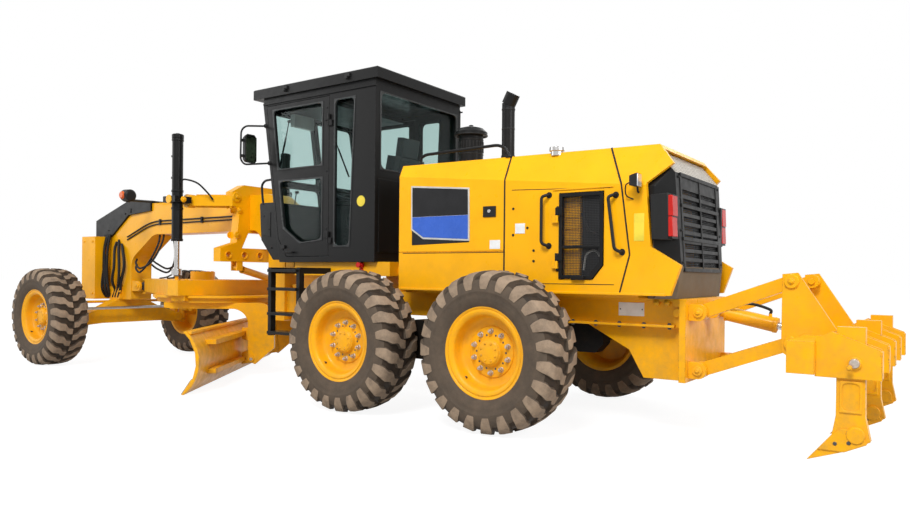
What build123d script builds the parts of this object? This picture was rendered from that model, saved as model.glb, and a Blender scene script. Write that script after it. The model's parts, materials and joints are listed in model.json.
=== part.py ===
from build123d import *
import os
from math import atan2, cos, degrees, hypot, radians, sin, tan

# Motor grader, millimetres. +X is forward, +Y is left, +Z is up.
# The origin is on the ground, under the middle of the whole machine.

# ---- driving dimensions --------------------------------------------------------------------------
# Heights are drawn from a level a little under the ground; save() lowers every piece.
axle_z = 665.0  # wheel axles, above that level
wheel_radius = 628.0  # over the lugs
ground_z = axle_z - wheel_radius
tyre_width = 444.0
tread_base_radius = 598.0
lug_count = 18  # lugs on each side of a tyre, and flats round it
rim_radius = 332.0
rim_width = 350.0
track_half = 1070.0  # from the middle of the machine to a wheel's middle
tandem_x = -1727.0  # pivot of the tandem cases
tandem_spacing = 1525.0
front_axle_x = 4420.0
hinge_x = 780.0  # articulation pin, below the front of the cab

rail_y = 400.0  # middle of a rear frame rail
rail_width = 130.0
rail_low = 870.0
rail_top = 1090.0
rail_rear_x = -3730.0
rail_front_x = -150.0
plate = 30.0  # thickness of welded steel plates
skin = 40.0  # thickness of a door, cab wall or hood panel with its frame
gap = 5.0  # clearance between moving pieces
seat = 0.3  # clearance where a moving piece sits against its neighbour
pin_fit = 0.05  # radial clearance of a pin in its bore
hinge_radius = 12.0  # knuckles of the cab and engine doors
hinge_half = 30.0  # half the height of a moving knuckle
hinge_pin = 7.0

hood_front_x = -1190.0
hood_split_x = -2325.0
hood_rear_x = -3740.0
hood_low = 1115.0
hood_top = 2250.0
hood_half = 700.0

cab_rear_x = -880.0
cab_front_x = 713.0  # at the top of the walls
cab_lean = 0.163  # forward lean of the front wall, to each unit of height
cab_low = 1370.0
cab_top = 3055.0
cab_half = 690.0
roof_neck = 45.0  # between the walls and the roof's slab
roof_thickness = 105.0
roof_overhang = 45.0  # at the rear
roof_visor = 127.0  # overhang at the front
door_rear_x = -270.0

beam_top = 2180.0  # gooseneck beam
beam_low = 1760.0
beam_half = 150.0
bolster_low = 870.0

saddle_x = 1650.0
lift_x = 2060.0  # lift cylinders and the cross beam of the drawbar
lift_y = 800.0
gimbal_z = 2090.0
ball_x = 3960.0  # front ball of the drawbar
ball_z = 1060.0
drawbar_low = 985.0
drawbar_top = 1165.0

circle_x = 2320.0
circle_radius = 770.0
circle_low = 900.0  # underside of the circle, where its arms begin
flange_low = 955.0
blade_angle = 37.0  # blade's right end stands forward
blade_length = 3660.0
blade_shift = 235.0  # blade slid this far to the left on its rails
blade_height = 612.0
blade_thickness = 28.0
arm_offset = 620.0
shift_eye = (1850.0, -700.0, 1100.0)  # rod's end of the centre-shift cylinder

kingpin_y = 862.0
lean_y = 740.0
steer_arm = 225.0

ripper_x = -3860.0  # frame pins of the ripper
ripper_low_pin = 560.0
ripper_high_pin = 990.0
ripper_reach = 640.0  # arm, from its frame pin back to its carriage pin
ripper_rise = 240.0
ripper_arm_y = 365.0
ripper_pin = 26.0


# ---- small helpers: prisms from outlines, and round bars -----------------------------------------
def side_prism(points, y_from, y_to, mode=Mode.ADD):
    """Prism with an outline in X and Z, between two places across the machine."""
    with BuildSketch(Plane.XZ.offset(-y_to)) as outline:
        with BuildLine():
            Polyline(*points, close=True)
        make_face()
    extrude(outline.sketch, amount=y_to - y_from, mode=mode)


def plan_prism(points, z_from, z_to, mode=Mode.ADD):
    """Prism with an outline in X and Y, between two heights."""
    with BuildSketch(Plane.XY.offset(z_from)) as outline:
        with BuildLine():
            Polyline(*points, close=True)
        make_face()
    extrude(outline.sketch, amount=z_to - z_from, mode=mode)


def cross_prism(points, x_from, x_to, mode=Mode.ADD):
    """Prism with an outline in Y and Z, between two places along the machine."""
    with BuildSketch(Plane.YZ.offset(x_from)) as outline:
        with BuildLine():
            Polyline(*points, close=True)
        make_face()
    extrude(outline.sketch, amount=x_to - x_from, mode=mode)


def block(x, y, z, mode=Mode.ADD):
    """Box between pairs of limits."""
    plan_prism([(x[0], y[0]), (x[1], y[0]), (x[1], y[1]), (x[0], y[1])], z[0], z[1], mode)


def bar(start, end, radius, mode=Mode.ADD):
    """Round bar from one point to another."""
    run = Vector(*end) - Vector(*start)
    with BuildSketch(Plane(origin=start, z_dir=run)) as disc:
        Circle(radius)
    extrude(disc.sketch, amount=run.length, mode=mode)


def eye(centre, axis, radius, half, bore, mode=Mode.ADD):
    """Round eye with a bore, on an axis through its centre."""
    along = Vector(*axis).normalized() * half
    middle = Vector(*centre)
    with BuildSketch(Plane(origin=middle - along, z_dir=along)) as ring:
        Circle(radius)
        if bore:
            Circle(bore, mode=Mode.SUBTRACT)
    extrude(ring.sketch, amount=2 * half, mode=mode)


def save(builder, name):
    """Lower a finished piece to the ground, label it and write it to its own file."""
    piece = builder.part.moved(Location((0, 0, -ground_z)))
    piece.label = name
    export_step(piece, f"parts/{name}.step")


def save_pair(builder, name):
    """Write the left piece, and its mirror image as the right one."""
    save(builder, name + "_left")
    with BuildPart() as right:
        add(mirror(builder.part, about=Plane.XZ, mode=Mode.PRIVATE))
    save(right, name + "_right")


def hinge_pins(side, axis, places, foot_x, face_y):
    """Fixed knuckles with upright pins, on the outside of a wall."""
    for z in places:
        low = z - 3 * hinge_half
        high = z - hinge_half - 1
        x, y = axis
        eye((x, side * y, (low + high) / 2), (0, 0, 1), hinge_radius, (high - low) / 2, 0)
        block(sorted([x, foot_x]), sorted([side * (y - 6), side * (y + 6)]), (low, high))
        block(sorted([foot_x, (x + 2 * foot_x) / 3]), sorted([side * (face_y - 2), side * y]), (low, high))
        bar((x, side * y, low), (x, side * y, z + hinge_half), hinge_pin)


def hinge_leaves(side, axis, places, foot_x, face_y):
    """Moving knuckles that turn on the fixed pins, on the outside of a door."""
    for z in places:
        low = z - hinge_half
        high = z + hinge_half
        x, y = axis
        eye((x, side * y, z), (0, 0, 1), hinge_radius, hinge_half, 0)
        block(sorted([x, foot_x]), sorted([side * (y - 6), side * (y + 6)]), (low, high))
        block(sorted([foot_x, (x + 2 * foot_x) / 3]), sorted([side * (face_y - 2), side * y]), (low, high))
        bar((x, side * y, low - 1), (x, side * y, high + 1), hinge_pin + pin_fit, mode=Mode.SUBTRACT)


os.makedirs("parts", exist_ok=True)
sides = [("left", 1), ("right", -1)]

# ---- wheels --------------------------------------------------------------------------------------
# Polygonal rings: each row is half width and radius of a section, from the inner face out.
tyre_half = tyre_width / 2
bead_seat = rim_width / 2 - 8  # inner face of a rim flange
tyre_sections = [
    (-bead_seat + seat, rim_radius + seat),
    (-tyre_half, 500),
    (-tyre_half + 18, tread_base_radius),
    (tyre_half - 18, tread_base_radius),
    (tyre_half, 500),
    (bead_seat - seat, rim_radius + seat),
]
flat_ratio = cos(radians(180 / lug_count))


def polygon_ring(sections):
    """Ruled loft through regular polygons across Y; each radius is to the flats."""
    for offset, radius in sections:
        with BuildSketch(Plane.XZ.offset(-offset)) as ring:
            RegularPolygon(radius / flat_ratio, lug_count, rotation=90 + 180 / lug_count)
        rings.append(ring.sketch)


with BuildPart() as tyre:
    rings = []
    polygon_ring(tyre_sections)
    loft(rings, ruled=True)
    rings = []
    polygon_ring([(-tyre_half - 1, rim_radius + seat), (tyre_half + 1, rim_radius + seat)])
    loft(rings, ruled=True, mode=Mode.SUBTRACT)
    # Chevron lugs, one pair to each flat of the tread
    for turn in range(lug_count):
        around = turn * 360 / lug_count
        for side in (-1, 1):
            with BuildSketch(Plane.XY.rotated((0, around, 0)).offset(500)) as lug:
                with BuildLine():
                    Polyline(
                        (-62, side * 8),
                        (8, side * 8),
                        (66, side * tyre_half),
                        (-18, side * tyre_half),
                        close=True,
                    )
                make_face()
            extrude(lug.sketch, amount=wheel_radius - 500)

hub_radius = 140.0
disc_offset = 60.0  # wheel disc's outer face, outward of the wheel's middle
with BuildPart() as rim:
    half = rim_width / 2
    rings = []
    polygon_ring([(-half, rim_radius), (half, rim_radius)])
    loft(rings, ruled=True)
    rings = []
    polygon_ring([(disc_offset, 245), (half - 30, 270), (half + 1, 315)])
    loft(rings, ruled=True, mode=Mode.SUBTRACT)
    rings = []
    polygon_ring([(-half - 1, 315), (-half + 40, 280), (disc_offset - 60, 280)])
    loft(rings, ruled=True, mode=Mode.SUBTRACT)
    # rolled flanges that hold the tyre's beads
    for side in (-1, 1):
        rings = []
        edge = side * (half + 12)
        polygon_ring(sorted([(side * bead_seat, rim_radius - seat), (edge, rim_radius + 24)]))
        loft(rings, ruled=True)
        rings = []
        polygon_ring(sorted([(side * (bead_seat - 1), 310), (side * (half + 13), 320)]))
        loft(rings, ruled=True, mode=Mode.SUBTRACT)
    with BuildSketch(Plane.XZ.offset(-disc_offset - 55)) as hub:
        RegularPolygon(hub_radius, lug_count)
    extrude(hub.sketch, amount=100)
    eye((0, 0, 0), (0, 1, 0), 60 + pin_fit, 300, 0, mode=Mode.SUBTRACT)

wheel_places = [
    ("front", front_axle_x),
    ("mid", tandem_x + tandem_spacing / 2),
    ("rear", tandem_x - tandem_spacing / 2),
]
for row, x in wheel_places:
    for side_name, side in sides:
        place = Location((x, side * track_half, axle_z))
        for kind, source in (("tyre", tyre), ("rim", rim)):
            with BuildPart() as wheel_piece:
                if side > 0:
                    add(source.part.moved(place))
                else:
                    add(mirror(source.part, about=Plane.XZ, mode=Mode.PRIVATE).moved(place))
            save(wheel_piece, f"{kind}_{row}_{side_name}")

# ---- rear frame ----------------------------------------------------------------------------------
neck_half = 300.0
ear_radius = 150.0
ear_low = 700.0
ear_top = 1130.0
artic_pin = 55.0
with BuildPart() as rear_frame:
    for side_name, side in sides:
        y_limits = sorted([side * (rail_y - rail_width / 2), side * (rail_y + rail_width / 2)])
        block((rail_rear_x, rail_front_x), y_limits, (rail_low, rail_top))
        # gusset that carries the ripper bracket
        side_prism(
            [
                (rail_rear_x - 60, ripper_low_pin - 90),
                (rail_rear_x + 300, ripper_low_pin - 90),
                (rail_rear_x + 420, ripper_low_pin + 120),
                (rail_rear_x + 800, rail_low + 10),
                (rail_rear_x + 800, rail_top),
                (rail_rear_x - 60, rail_top),
            ],
            *sorted([side * (rail_y - 15), side * (rail_y + 15)]),
        )
        # steps of the floor on each side, below the cab
        block((-1030, 260), sorted([side * 520, side * 640]), (1235, cab_low))
    # neck that narrows towards the articulation pin
    plan_prism(
        [
            (rail_front_x - 5, -rail_y - 65),
            (300, -neck_half),
            (hinge_x - 190, -170),
            (hinge_x - 190, 170),
            (300, neck_half),
            (rail_front_x - 5, rail_y + 65),
        ],
        rail_low - 90,
        rail_top,
    )
    # ears above and below the front frame's knuckle, and the pin between them
    for low, high in ((ear_low, ear_low + 60), (ear_top - 60, ear_top)):
        plan_prism(
            [(hinge_x - 260, -170), (hinge_x, -ear_radius), (hinge_x, ear_radius), (hinge_x - 260, 170)],
            low,
            high,
        )
        eye((hinge_x, 0, (low + high) / 2), (0, 0, 1), ear_radius, (high - low) / 2, 0)
    block((hinge_x - 300, hinge_x - 185), (-170, 170), (ear_low, ear_top))
    bar((hinge_x, 0, ear_low - 25), (hinge_x, 0, ear_top + 25), artic_pin)
    # cross members between the rails
    for x in (-3560, -2500, -900):
        block((x, x + 120), (-rail_y, rail_y), (rail_low + 30, rail_top))
    # platform that carries the cab, on four feet
    block((-1060, 620), (-520, 520), (1250, 1320))
    for x in (-980, 60):
        for side in (-1, 1):
            block((x, x + 160), sorted([side * 340, side * 450]), (rail_top - 5, 1255))
    for x in (-980, 430):
        for side in (-1, 1):
            block((x, x + 120), sorted([side * 380, side * 500]), (1315, cab_low))
    block((300, 560), (-280, 280), (rail_top - 5, 1255))
    # rear cross plate with the ripper's pin bosses
    block((rail_rear_x - 60, rail_rear_x - 10), (-520, 520), (ripper_low_pin - 90, rail_top))
    for z in (ripper_low_pin, ripper_high_pin):
        for side in (-1, 1):
            ear_y = sorted([side * (ripper_arm_y + 40), side * (ripper_arm_y + 85)])
            eye((ripper_x, side * (ripper_arm_y + 62.5), z), (0, 1, 0), 62, 22.5, 0)
            block((ripper_x, rail_rear_x - 20), ear_y, (z - 62, z + 62))
            pin_ends = [(ripper_x, side * (ripper_arm_y + offset), z) for offset in (45, -45)]
            bar(*pin_ends, ripper_pin)
    # lugs and pin of the ripper cylinder
    for side in (-1, 1):
        lug_y = sorted([side * 45, side * 75])
        eye((ripper_x, side * 60, ripper_high_pin), (0, 1, 0), 55, 15, 0)
        block((ripper_x, rail_rear_x - 20), lug_y, (ripper_high_pin - 55, ripper_high_pin + 55))
    bar((ripper_x, -70, ripper_high_pin), (ripper_x, 70, ripper_high_pin), ripper_pin)
save(rear_frame, "rear_frame")

# ---- rear axle and tandem cases ------------------------------------------------------------------
case_y = 735.0  # middle of a tandem case
case_half = 85.0
axle_radius = 170.0
with BuildPart() as rear_axle:
    bar((tandem_x, -case_y, axle_z), (tandem_x, case_y, axle_z), axle_radius)
    eye((tandem_x, 0, axle_z), (1, 0, 0), 215, 240, 0)
    for side in (-1, 1):
        y_limits = sorted([side * (rail_y - 60), side * (rail_y + 60)])
        block((tandem_x - 190, tandem_x + 190), y_limits, (axle_z, rail_low))
    reach = tandem_spacing / 2
    for side in (-1, 1):
        with BuildSketch(Plane.XZ.offset(-side * case_y - case_half)) as case:
            with BuildLine():
                Polyline(
                    (tandem_x - reach - 120, axle_z - 60),
                    (tandem_x - reach - 40, axle_z - 150),
                    (tandem_x + reach + 40, axle_z - 150),
                    (tandem_x + reach + 120, axle_z - 60),
                    (tandem_x + reach + 120, axle_z + 60),
                    (tandem_x + reach + 40, axle_z + 140),
                    (tandem_x + 260, axle_z + 190),
                    (tandem_x - 260, axle_z + 190),
                    (tandem_x - reach - 40, axle_z + 140),
                    (tandem_x - reach - 120, axle_z + 60),
                    close=True,
                )
            make_face()
            with Locations((tandem_x, axle_z)):
                Circle(axle_radius - 30, mode=Mode.SUBTRACT)
        extrude(case.sketch, amount=2 * case_half)
        # stub axles that the four wheels turn on
        for x in (tandem_x - reach, tandem_x + reach):
            outer = side * (track_half + disc_offset + 50)
            bar((x, side * (case_y + case_half - 5), axle_z), (x, outer, axle_z), 60)
save(rear_axle, "rear_axle")

# ---- engine, hood and grille ---------------------------------------------------------------------
with BuildPart() as engine_block:
    block((-3150, -1650), (-300, 300), (rail_top + seat, 1900))
save(engine_block, "engine_block")

shoulder_z = 2146.0  # fold between a side and its leaning shoulder, at the front of the hood
shoulder_fall = 0.093  # drop of that fold towards the rear, to each unit of length
shoulder_lean = 0.5  # how far a shoulder leans in, to each unit of height


def hood_section(x, inward, low):
    """Outline of the hood across the machine at one place, moved inward by an amount."""
    fold = shoulder_z - shoulder_fall * (hood_front_x - x)
    half = hood_half - inward
    top = hood_top - inward
    top_half = half - shoulder_lean * (top - fold)
    left = [(half, low), (half, fold), (top_half, top)]
    return left + [(-y, z) for y, z in reversed(left)]


def hood_run(x_from, x_to, inward, low, mode=Mode.ADD):
    """Straight run of the hood's section between two places."""
    sections = []
    for x in (x_from, x_to):
        with BuildSketch(Plane.YZ.offset(x)) as section:
            with BuildLine():
                Polyline(*hood_section(x, inward, low), close=True)
            make_face()
        sections.append(section.sketch)
    loft(sections, ruled=True, mode=mode)


engine_door_front_x = -2830.0
engine_door_width = 385.0
engine_door_rear_x = engine_door_front_x - engine_door_width
engine_door_low = 1225.0
engine_door_top = 1905.0
engine_door = [
    (engine_door_front_x, engine_door_low),
    (engine_door_front_x, engine_door_top),
    (engine_door_rear_x, engine_door_top),
    (engine_door_rear_x, engine_door_low + 110),
    (engine_door_rear_x + 90, engine_door_low),
]
engine_hinge = (engine_door_front_x + 10, hood_half + 18)  # upright axis of a door's hinges
engine_hinge_places = (1400.0, 1760.0)
with BuildPart() as hood_front:
    hood_run(hood_split_x + gap / 2, hood_front_x, 0, hood_low)
    hood_run(hood_split_x - 1, hood_front_x - skin, skin, hood_low - 1, mode=Mode.SUBTRACT)
    # seam between the upper and lower side panels
    for side in (-1, 1):
        seam_y = sorted([side * (hood_half - 6), side * (hood_half + 1)])
        block((hood_split_x, hood_front_x + 1), seam_y, (1450, 1457), mode=Mode.SUBTRACT)
    # brackets down to the rails
    for side in (-1, 1):
        foot = sorted([side * 330, side * 662])
        block((hood_split_x + 60, hood_front_x - 60), foot, (rail_top + seat, hood_low + 30))
save(hood_front, "hood_front")

hood_tail = [
    (hood_split_x, hood_low),
    (hood_split_x, hood_top),
    (hood_rear_x + 150, hood_top),
    (hood_rear_x + 20, hood_top - 161),
    (hood_rear_x + 195, hood_top - 307),
    (hood_rear_x + 155, hood_top - 779),
    (hood_rear_x - 72, hood_top - 915),
    (hood_rear_x + 6, hood_low),
]
with BuildPart() as hood_rear:
    hood_run(hood_rear_x - 80, hood_split_x - gap / 2, 0, hood_low)
    hood_run(hood_rear_x - 81, hood_split_x + 1, skin, hood_low - 1, mode=Mode.SUBTRACT)
    # sides cut back round the lamps, between a pointed shoulder and a pointed lower corner
    side_prism(hood_tail, -hood_half - 10, hood_half + 10, mode=Mode.INTERSECT)
    # doorways on both sides
    side_prism(engine_door, -hood_half - 10, hood_half + 10, mode=Mode.SUBTRACT)
    for side in (-1, 1):
        foot = sorted([side * 330, side * 662])
        block((hood_rear_x + 260, hood_split_x - 60), foot, (rail_top + seat, hood_low + 30))
        hinge_pins(side, engine_hinge, engine_hinge_places, engine_door_front_x + 50, hood_half)
save(hood_rear, "hood_rear")

grille_half = 654.0
grille_inset = skin + 8  # clear of the hood's inside
louvre_count = 9
tail_lamp_z = (1530.0, 1850.0)
with BuildPart() as rear_grille:
    # black housing with a slanting back, narrower towards the rear
    hood_run(hood_rear_x - 80, hood_rear_x + 300, grille_inset, rail_top + seat)
    side_prism(
        [
            (hood_rear_x + 190, rail_top + seat),
            (hood_rear_x + 10, rail_top + seat),
            (hood_rear_x - 20, 1330),
            (hood_rear_x + 25, hood_top - 220),
            (hood_rear_x + 152, hood_top - grille_inset - 1),
            (hood_rear_x + 250, hood_top - grille_inset - 1),
        ],
        -grille_half,
        grille_half,
        mode=Mode.INTERSECT,
    )
    half_plan = [
        (hood_rear_x + 260, grille_half),
        (hood_rear_x + 150, grille_half),
        (hood_rear_x - 40, 520),
    ]
    plan_prism(
        half_plan + [(x, -y) for x, y in reversed(half_plan)],
        rail_top,
        hood_top,
        mode=Mode.INTERSECT,
    )
    # hollow, open towards the engine
    side_prism(
        [
            (hood_rear_x + 260, 1180),
            (hood_rear_x + 60, 1180),
            (hood_rear_x + 30, 1330),
            (hood_rear_x + 75, hood_top - 240),
            (hood_rear_x + 170, hood_top - 110),
            (hood_rear_x + 260, hood_top - 110),
        ],
        -480,
        480,
        mode=Mode.SUBTRACT,
    )
    # slots between the louvres
    for row in range(louvre_count):
        z = 1330 + row * 68
        block((hood_rear_x - 60, hood_rear_x + 160), (-430, 430), (z, z + 40), mode=Mode.SUBTRACT)
    # housings of the tail lamps, on the slanting corners
    for side in (-1, 1):
        block((hood_rear_x - 2, hood_rear_x + 150), sorted([side * 540, side * 690]), tail_lamp_z)
save(rear_grille, "rear_grille")

exhaust = (-2070.0, 240.0)
with BuildPart() as exhaust_stack:
    bar((*exhaust, hood_top + seat), (*exhaust, 2290), 85)
    bar((*exhaust, 2280), (*exhaust, 2800), 58)
    with BuildSketch(Plane(origin=(*exhaust, 2790), z_dir=(-0.55, 0, 1))) as elbow:
        Circle(64)
    extrude(elbow.sketch, amount=105)
    bar((*exhaust, 2330), (*exhaust, 2830), 47, mode=Mode.SUBTRACT)
save(exhaust_stack, "exhaust_stack")

cleaner = (-1540.0, 60.0)
cleaner_profile = [
    (0, hood_top + seat),
    (118, hood_top + seat),
    (118, 2590),
    (158, 2597),
    (158, 2618),
    (120, 2655),
    (60, 2672),
    (0, 2675),
]
with BuildPart() as air_precleaner:
    with BuildSketch(Plane(origin=(*cleaner, 0), x_dir=(1, 0, 0), z_dir=(0, -1, 0))) as bowl:
        with BuildLine():
            Polyline(*cleaner_profile, close=True)
        make_face()
    revolve(bowl.sketch, axis=Axis((*cleaner, 0), (0, 0, 1)))
save(air_precleaner, "air_precleaner")

# ---- ladders below the cab doors -----------------------------------------------------------------
ladder_y = 1020.0
ladder_x = (-240.0, 160.0)
ladder_low = 645.0
with BuildPart() as ladders:
    for side in (-1, 1):
        for x in ladder_x:
            rail_limits = sorted([side * (ladder_y - 30), side * (ladder_y + 30)])
            block((x - 22, x + 22), rail_limits, (ladder_low, cab_low - 60))
            block((x - 22, x + 22), sorted([side * 640, side * ladder_y]), (cab_low - 120, cab_low - 60))
        for z in (ladder_low + 30, 860, 1100, cab_low - 90):
            step = sorted([side * (ladder_y - 90), side * (ladder_y + 60)])
            block((ladder_x[0], ladder_x[1]), step, (z - 14, z + 14))
save(ladders, "ladders")

# ---- cab -----------------------------------------------------------------------------------------


def cab_front_at(z):
    """Outer face of the cab's front, which leans forward to the top."""
    return cab_front_x - cab_lean * (cab_top - z)


cab_outline = [
    (cab_rear_x, cab_low),
    (cab_rear_x, cab_top),
    (cab_front_at(cab_top), cab_top),
    (cab_front_at(cab_low), cab_low),
]
door_outline = [
    (door_rear_x, cab_low + 60),
    (door_rear_x, cab_top - 45),
    (650, cab_top - 45),
    (455, cab_low + 250),
    (330, cab_low + 60),
]
cab_hinge = (door_rear_x - 8, cab_half + 14)  # upright axis of a cab door's hinges
cab_hinge_places = (cab_low + 270, cab_top - 255)
door_windows = [
    [(560, cab_top - 90), (door_rear_x + 85, cab_top - 90), (door_rear_x + 85, 2330), (475, 2330)],
    [(455, 2215), (door_rear_x + 85, 2215), (door_rear_x + 85, 1590), (130, 1560), (385, 1720)],
]
rear_side_window = [(-620, cab_top - 90), (-345, cab_top - 90), (-345, 1520), (-560, 1520)]


def shrink(points, amount):
    """Outline moved inward by an amount along X and Z, towards its middle."""
    middle_x = sum(x for x, z in points) / len(points)
    middle_z = sum(z for x, z in points) / len(points)
    moved = []
    for x, z in points:
        along = amount if x < middle_x else -amount
        up = amount if z < middle_z else -amount
        moved.append((x + along, z + up))
    return moved


with BuildPart() as cab_frame:
    side_prism(cab_outline, -cab_half, cab_half)
    inside = [
        (cab_rear_x + skin, cab_low + skin),
        (cab_rear_x + skin, cab_top + 10),
        (cab_front_at(cab_top + 10) - skin, cab_top + 10),
        (cab_front_at(cab_low + skin) - skin, cab_low + skin),
    ]
    side_prism(inside, -cab_half + skin, cab_half - skin, mode=Mode.SUBTRACT)
    for side in (-1, 1):
        wall = sorted([side * (cab_half - skin - gap), side * (cab_half + 10)])
        side_prism(shrink(door_outline, -gap), *wall, mode=Mode.SUBTRACT)
    side_prism(rear_side_window, -cab_half - 10, cab_half + 10, mode=Mode.SUBTRACT)
    # windscreen in two panes, and rear window
    for low, high in ((1480, 2180), (2240, cab_top - 90)):
        for side in (-1, 1):
            glass_y = sorted([side * 35, side * (cab_half - 90)])
            front = [(cab_front_at(z) + 20, z) for z in (low, high)]
            through = front + [(x - 80, z) for x, z in reversed(front)]
            side_prism(through, *glass_y, mode=Mode.SUBTRACT)
    rear_glass_y = (-cab_half + 70, cab_half - 70)
    block((cab_rear_x - 10, cab_rear_x + 60), rear_glass_y, (2250, cab_top - 65), mode=Mode.SUBTRACT)
    for side in (-1, 1):
        hinge_pins(side, cab_hinge, cab_hinge_places, door_rear_x - 55, cab_half)
save(cab_frame, "cab_frame")

with BuildPart() as cab_roof:
    low = cab_top + seat
    high = low + roof_neck + roof_thickness
    roof_half = cab_half + 25
    block((cab_rear_x + 5, cab_front_x - 5), (-cab_half + 5, cab_half - 5), (low, high - 20))
    roof_x = (cab_rear_x - roof_overhang, cab_front_x + roof_visor)
    block(roof_x, (-roof_half, roof_half), (low + roof_neck, high))
    chamfer(cab_roof.faces().sort_by(Axis.Z)[-1].edges(), 9)
save(cab_roof, "cab_roof")

pane = 8.0
with BuildPart() as cab_glass:
    for side in (-1, 1):
        outer = side * (cab_half - skin)
        pane_y = sorted([outer - side * (pane + seat), outer - side * seat])
        side_prism(shrink(rear_side_window, -18), *pane_y)
    for low, high in ((1480, 2180), (2240, cab_top - 90)):
        for side in (-1, 1):
            front = [(cab_front_at(z) - skin - seat, z) for z in (low - 18, high + 18)]
            pane_points = front + [(x - pane, z) for x, z in reversed(front)]
            side_prism(pane_points, *sorted([side * 17, side * (cab_half - 72)]))
    block(
        (cab_rear_x + skin + seat, cab_rear_x + skin + pane),
        (-cab_half + 52, cab_half - 52),
        (2232, cab_top - 47),
    )
save(cab_glass, "cab_glass")

with BuildPart() as cab_interior:
    floor = cab_low + skin + seat
    block((-580, -200), (-200, 200), (floor, floor + 330))  # seat box
    block((-640, -100), (-255, 255), (floor + 325, floor + 440))  # cushion
    backrest = [(-640, floor + 440), (-740, floor + 1030), (-640, floor + 1050), (-510, floor + 440)]
    side_prism(backrest, -235, 235)
    headrest = [(-730, floor + 1040), (-760, floor + 1230), (-680, floor + 1240), (-650, floor + 1040)]
    side_prism(headrest, -130, 130)
    # console and steering wheel
    side_prism([(230, floor), (225, floor + 620), (300, floor + 650), (375, floor)], -190, 190)
    wheel_middle = (225, 0, floor + 720)
    eye(wheel_middle, (-0.45, 0, 1), 190, 14, 160)
    bar((275, 0, floor + 600), wheel_middle, 30)
    bar((225, -175, floor + 720), (225, 175, floor + 720), 12)
save(cab_interior, "cab_interior")

with BuildPart() as cab_door:
    inner = cab_half - skin
    side_prism(door_outline, inner, cab_half)
    for window in door_windows:
        side_prism(window, inner - 10, cab_half + 10, mode=Mode.SUBTRACT)
    hinge_leaves(1, cab_hinge, cab_hinge_places, door_rear_x + 45, cab_half)
save_pair(cab_door, "cab_door")

with BuildPart() as door_glass:
    for window in door_windows:
        side_prism(shrink(window, -14), inner - pane - seat, inner - seat)
save_pair(door_glass, "door_glass")

with BuildPart() as engine_door_piece:
    side_prism(shrink(engine_door, gap), hood_half - skin + 10, hood_half + 10)
    side_prism(shrink(engine_door, 32), hood_half - 60, hood_half + 20, mode=Mode.SUBTRACT)
    hinge_leaves(1, engine_hinge, engine_hinge_places, engine_door_front_x - 40, hood_half + 10)
    # mesh panel behind the frame
    side_prism(shrink(engine_door, 27), hood_half - skin + 12, hood_half - skin + 20)
save_pair(engine_door_piece, "engine_door")

lamp_place = (3420.0, 600.0, 2215.0)

# ---- front frame: knuckle, column, gooseneck and bolster -----------------------------------------
column_rear_x = hinge_x + 190
leg_rear_x = ball_x + 130
front_x = 5010.0
cheek_y = 112.0
with BuildPart() as front_frame:
    with BuildSketch(Plane.XZ.offset(-beam_half)) as goose:
        with BuildLine():
            FilletPolyline(
                (column_rear_x, ear_low + 10),
                (column_rear_x, 2000),
                (column_rear_x + 260, beam_top),
                (4000, beam_top),
                (front_x - 60, 1740),
                (front_x - 60, bolster_low),
                (leg_rear_x, bolster_low),
                (leg_rear_x, 1430),
                (3560, beam_low),
                (column_rear_x + 500, beam_low),
                (column_rear_x + 280, 1520),
                (column_rear_x + 280, 1180),
                (column_rear_x + 222, ear_low + 10),
                radius=[20, 160, 160, 200, 60, 20, 20, 220, 260, 120, 120, 60, 20],
                close=True,
            )
        make_face()
    extrude(goose.sketch, amount=2 * beam_half)
    # knuckle on the articulation pin
    low, high = ear_low + 60 + gap, ear_top - 60 - gap
    eye((hinge_x, 0, (low + high) / 2), (0, 0, 1), 130, (high - low) / 2, 0)
    block((hinge_x, column_rear_x + 10), (-110, 110), (low, high))
    bar((hinge_x, 0, low - 1), (hinge_x, 0, high + 1), artic_pin + pin_fit, mode=Mode.SUBTRACT)
    # bolster box at the very front, and the seat of the axle
    block((4660, front_x), (-350, 350), (bolster_low, 1750))
    block((front_axle_x - 130, front_axle_x + 130), (-200, 200), (bolster_low, 1050))
    # cheeks that hold the drawbar's ball
    for side in (-1, 1):
        cheek = sorted([side * cheek_y, side * (cheek_y + plate)])
        block((ball_x, leg_rear_x + 10), cheek, (ball_z - 70, ball_z + 70))
        eye((ball_x, side * (cheek_y + plate / 2), ball_z), (0, 1, 0), 70, plate / 2, 0)
    bar((ball_x, -200, ball_z), (ball_x, 200, ball_z), 30 + pin_fit, mode=Mode.SUBTRACT)
save(front_frame, "front_frame")

with BuildPart() as gooseneck_cover:
    side_prism(
        [
            (4955, 1752),
            (4955, 1985),
            (4140, 2235),
            (3600, 2215),
            (3600, 2080),
            (4130, 2040),
            (4560, 1752),
        ],
        -beam_half - 28,
        beam_half + 28,
    )
    # hollow where the beam passes under it
    side_prism(
        [(3590, 2000), (3590, beam_top + seat), (4000, beam_top + seat), (4960, 1741.5), (4560, 1700)],
        -beam_half - seat,
        beam_half + seat,
        mode=Mode.SUBTRACT,
    )
    # lamps on thin arms
    for side in (-1, 1):
        bar((3640, side * 100, 2205), (lamp_place[0], side * lamp_place[1], 2175), 16)
        eye((lamp_place[0], side * lamp_place[1], lamp_place[2]), (1, 0, 0), 62, 55, 0)
save(gooseneck_cover, "gooseneck_cover")

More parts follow.
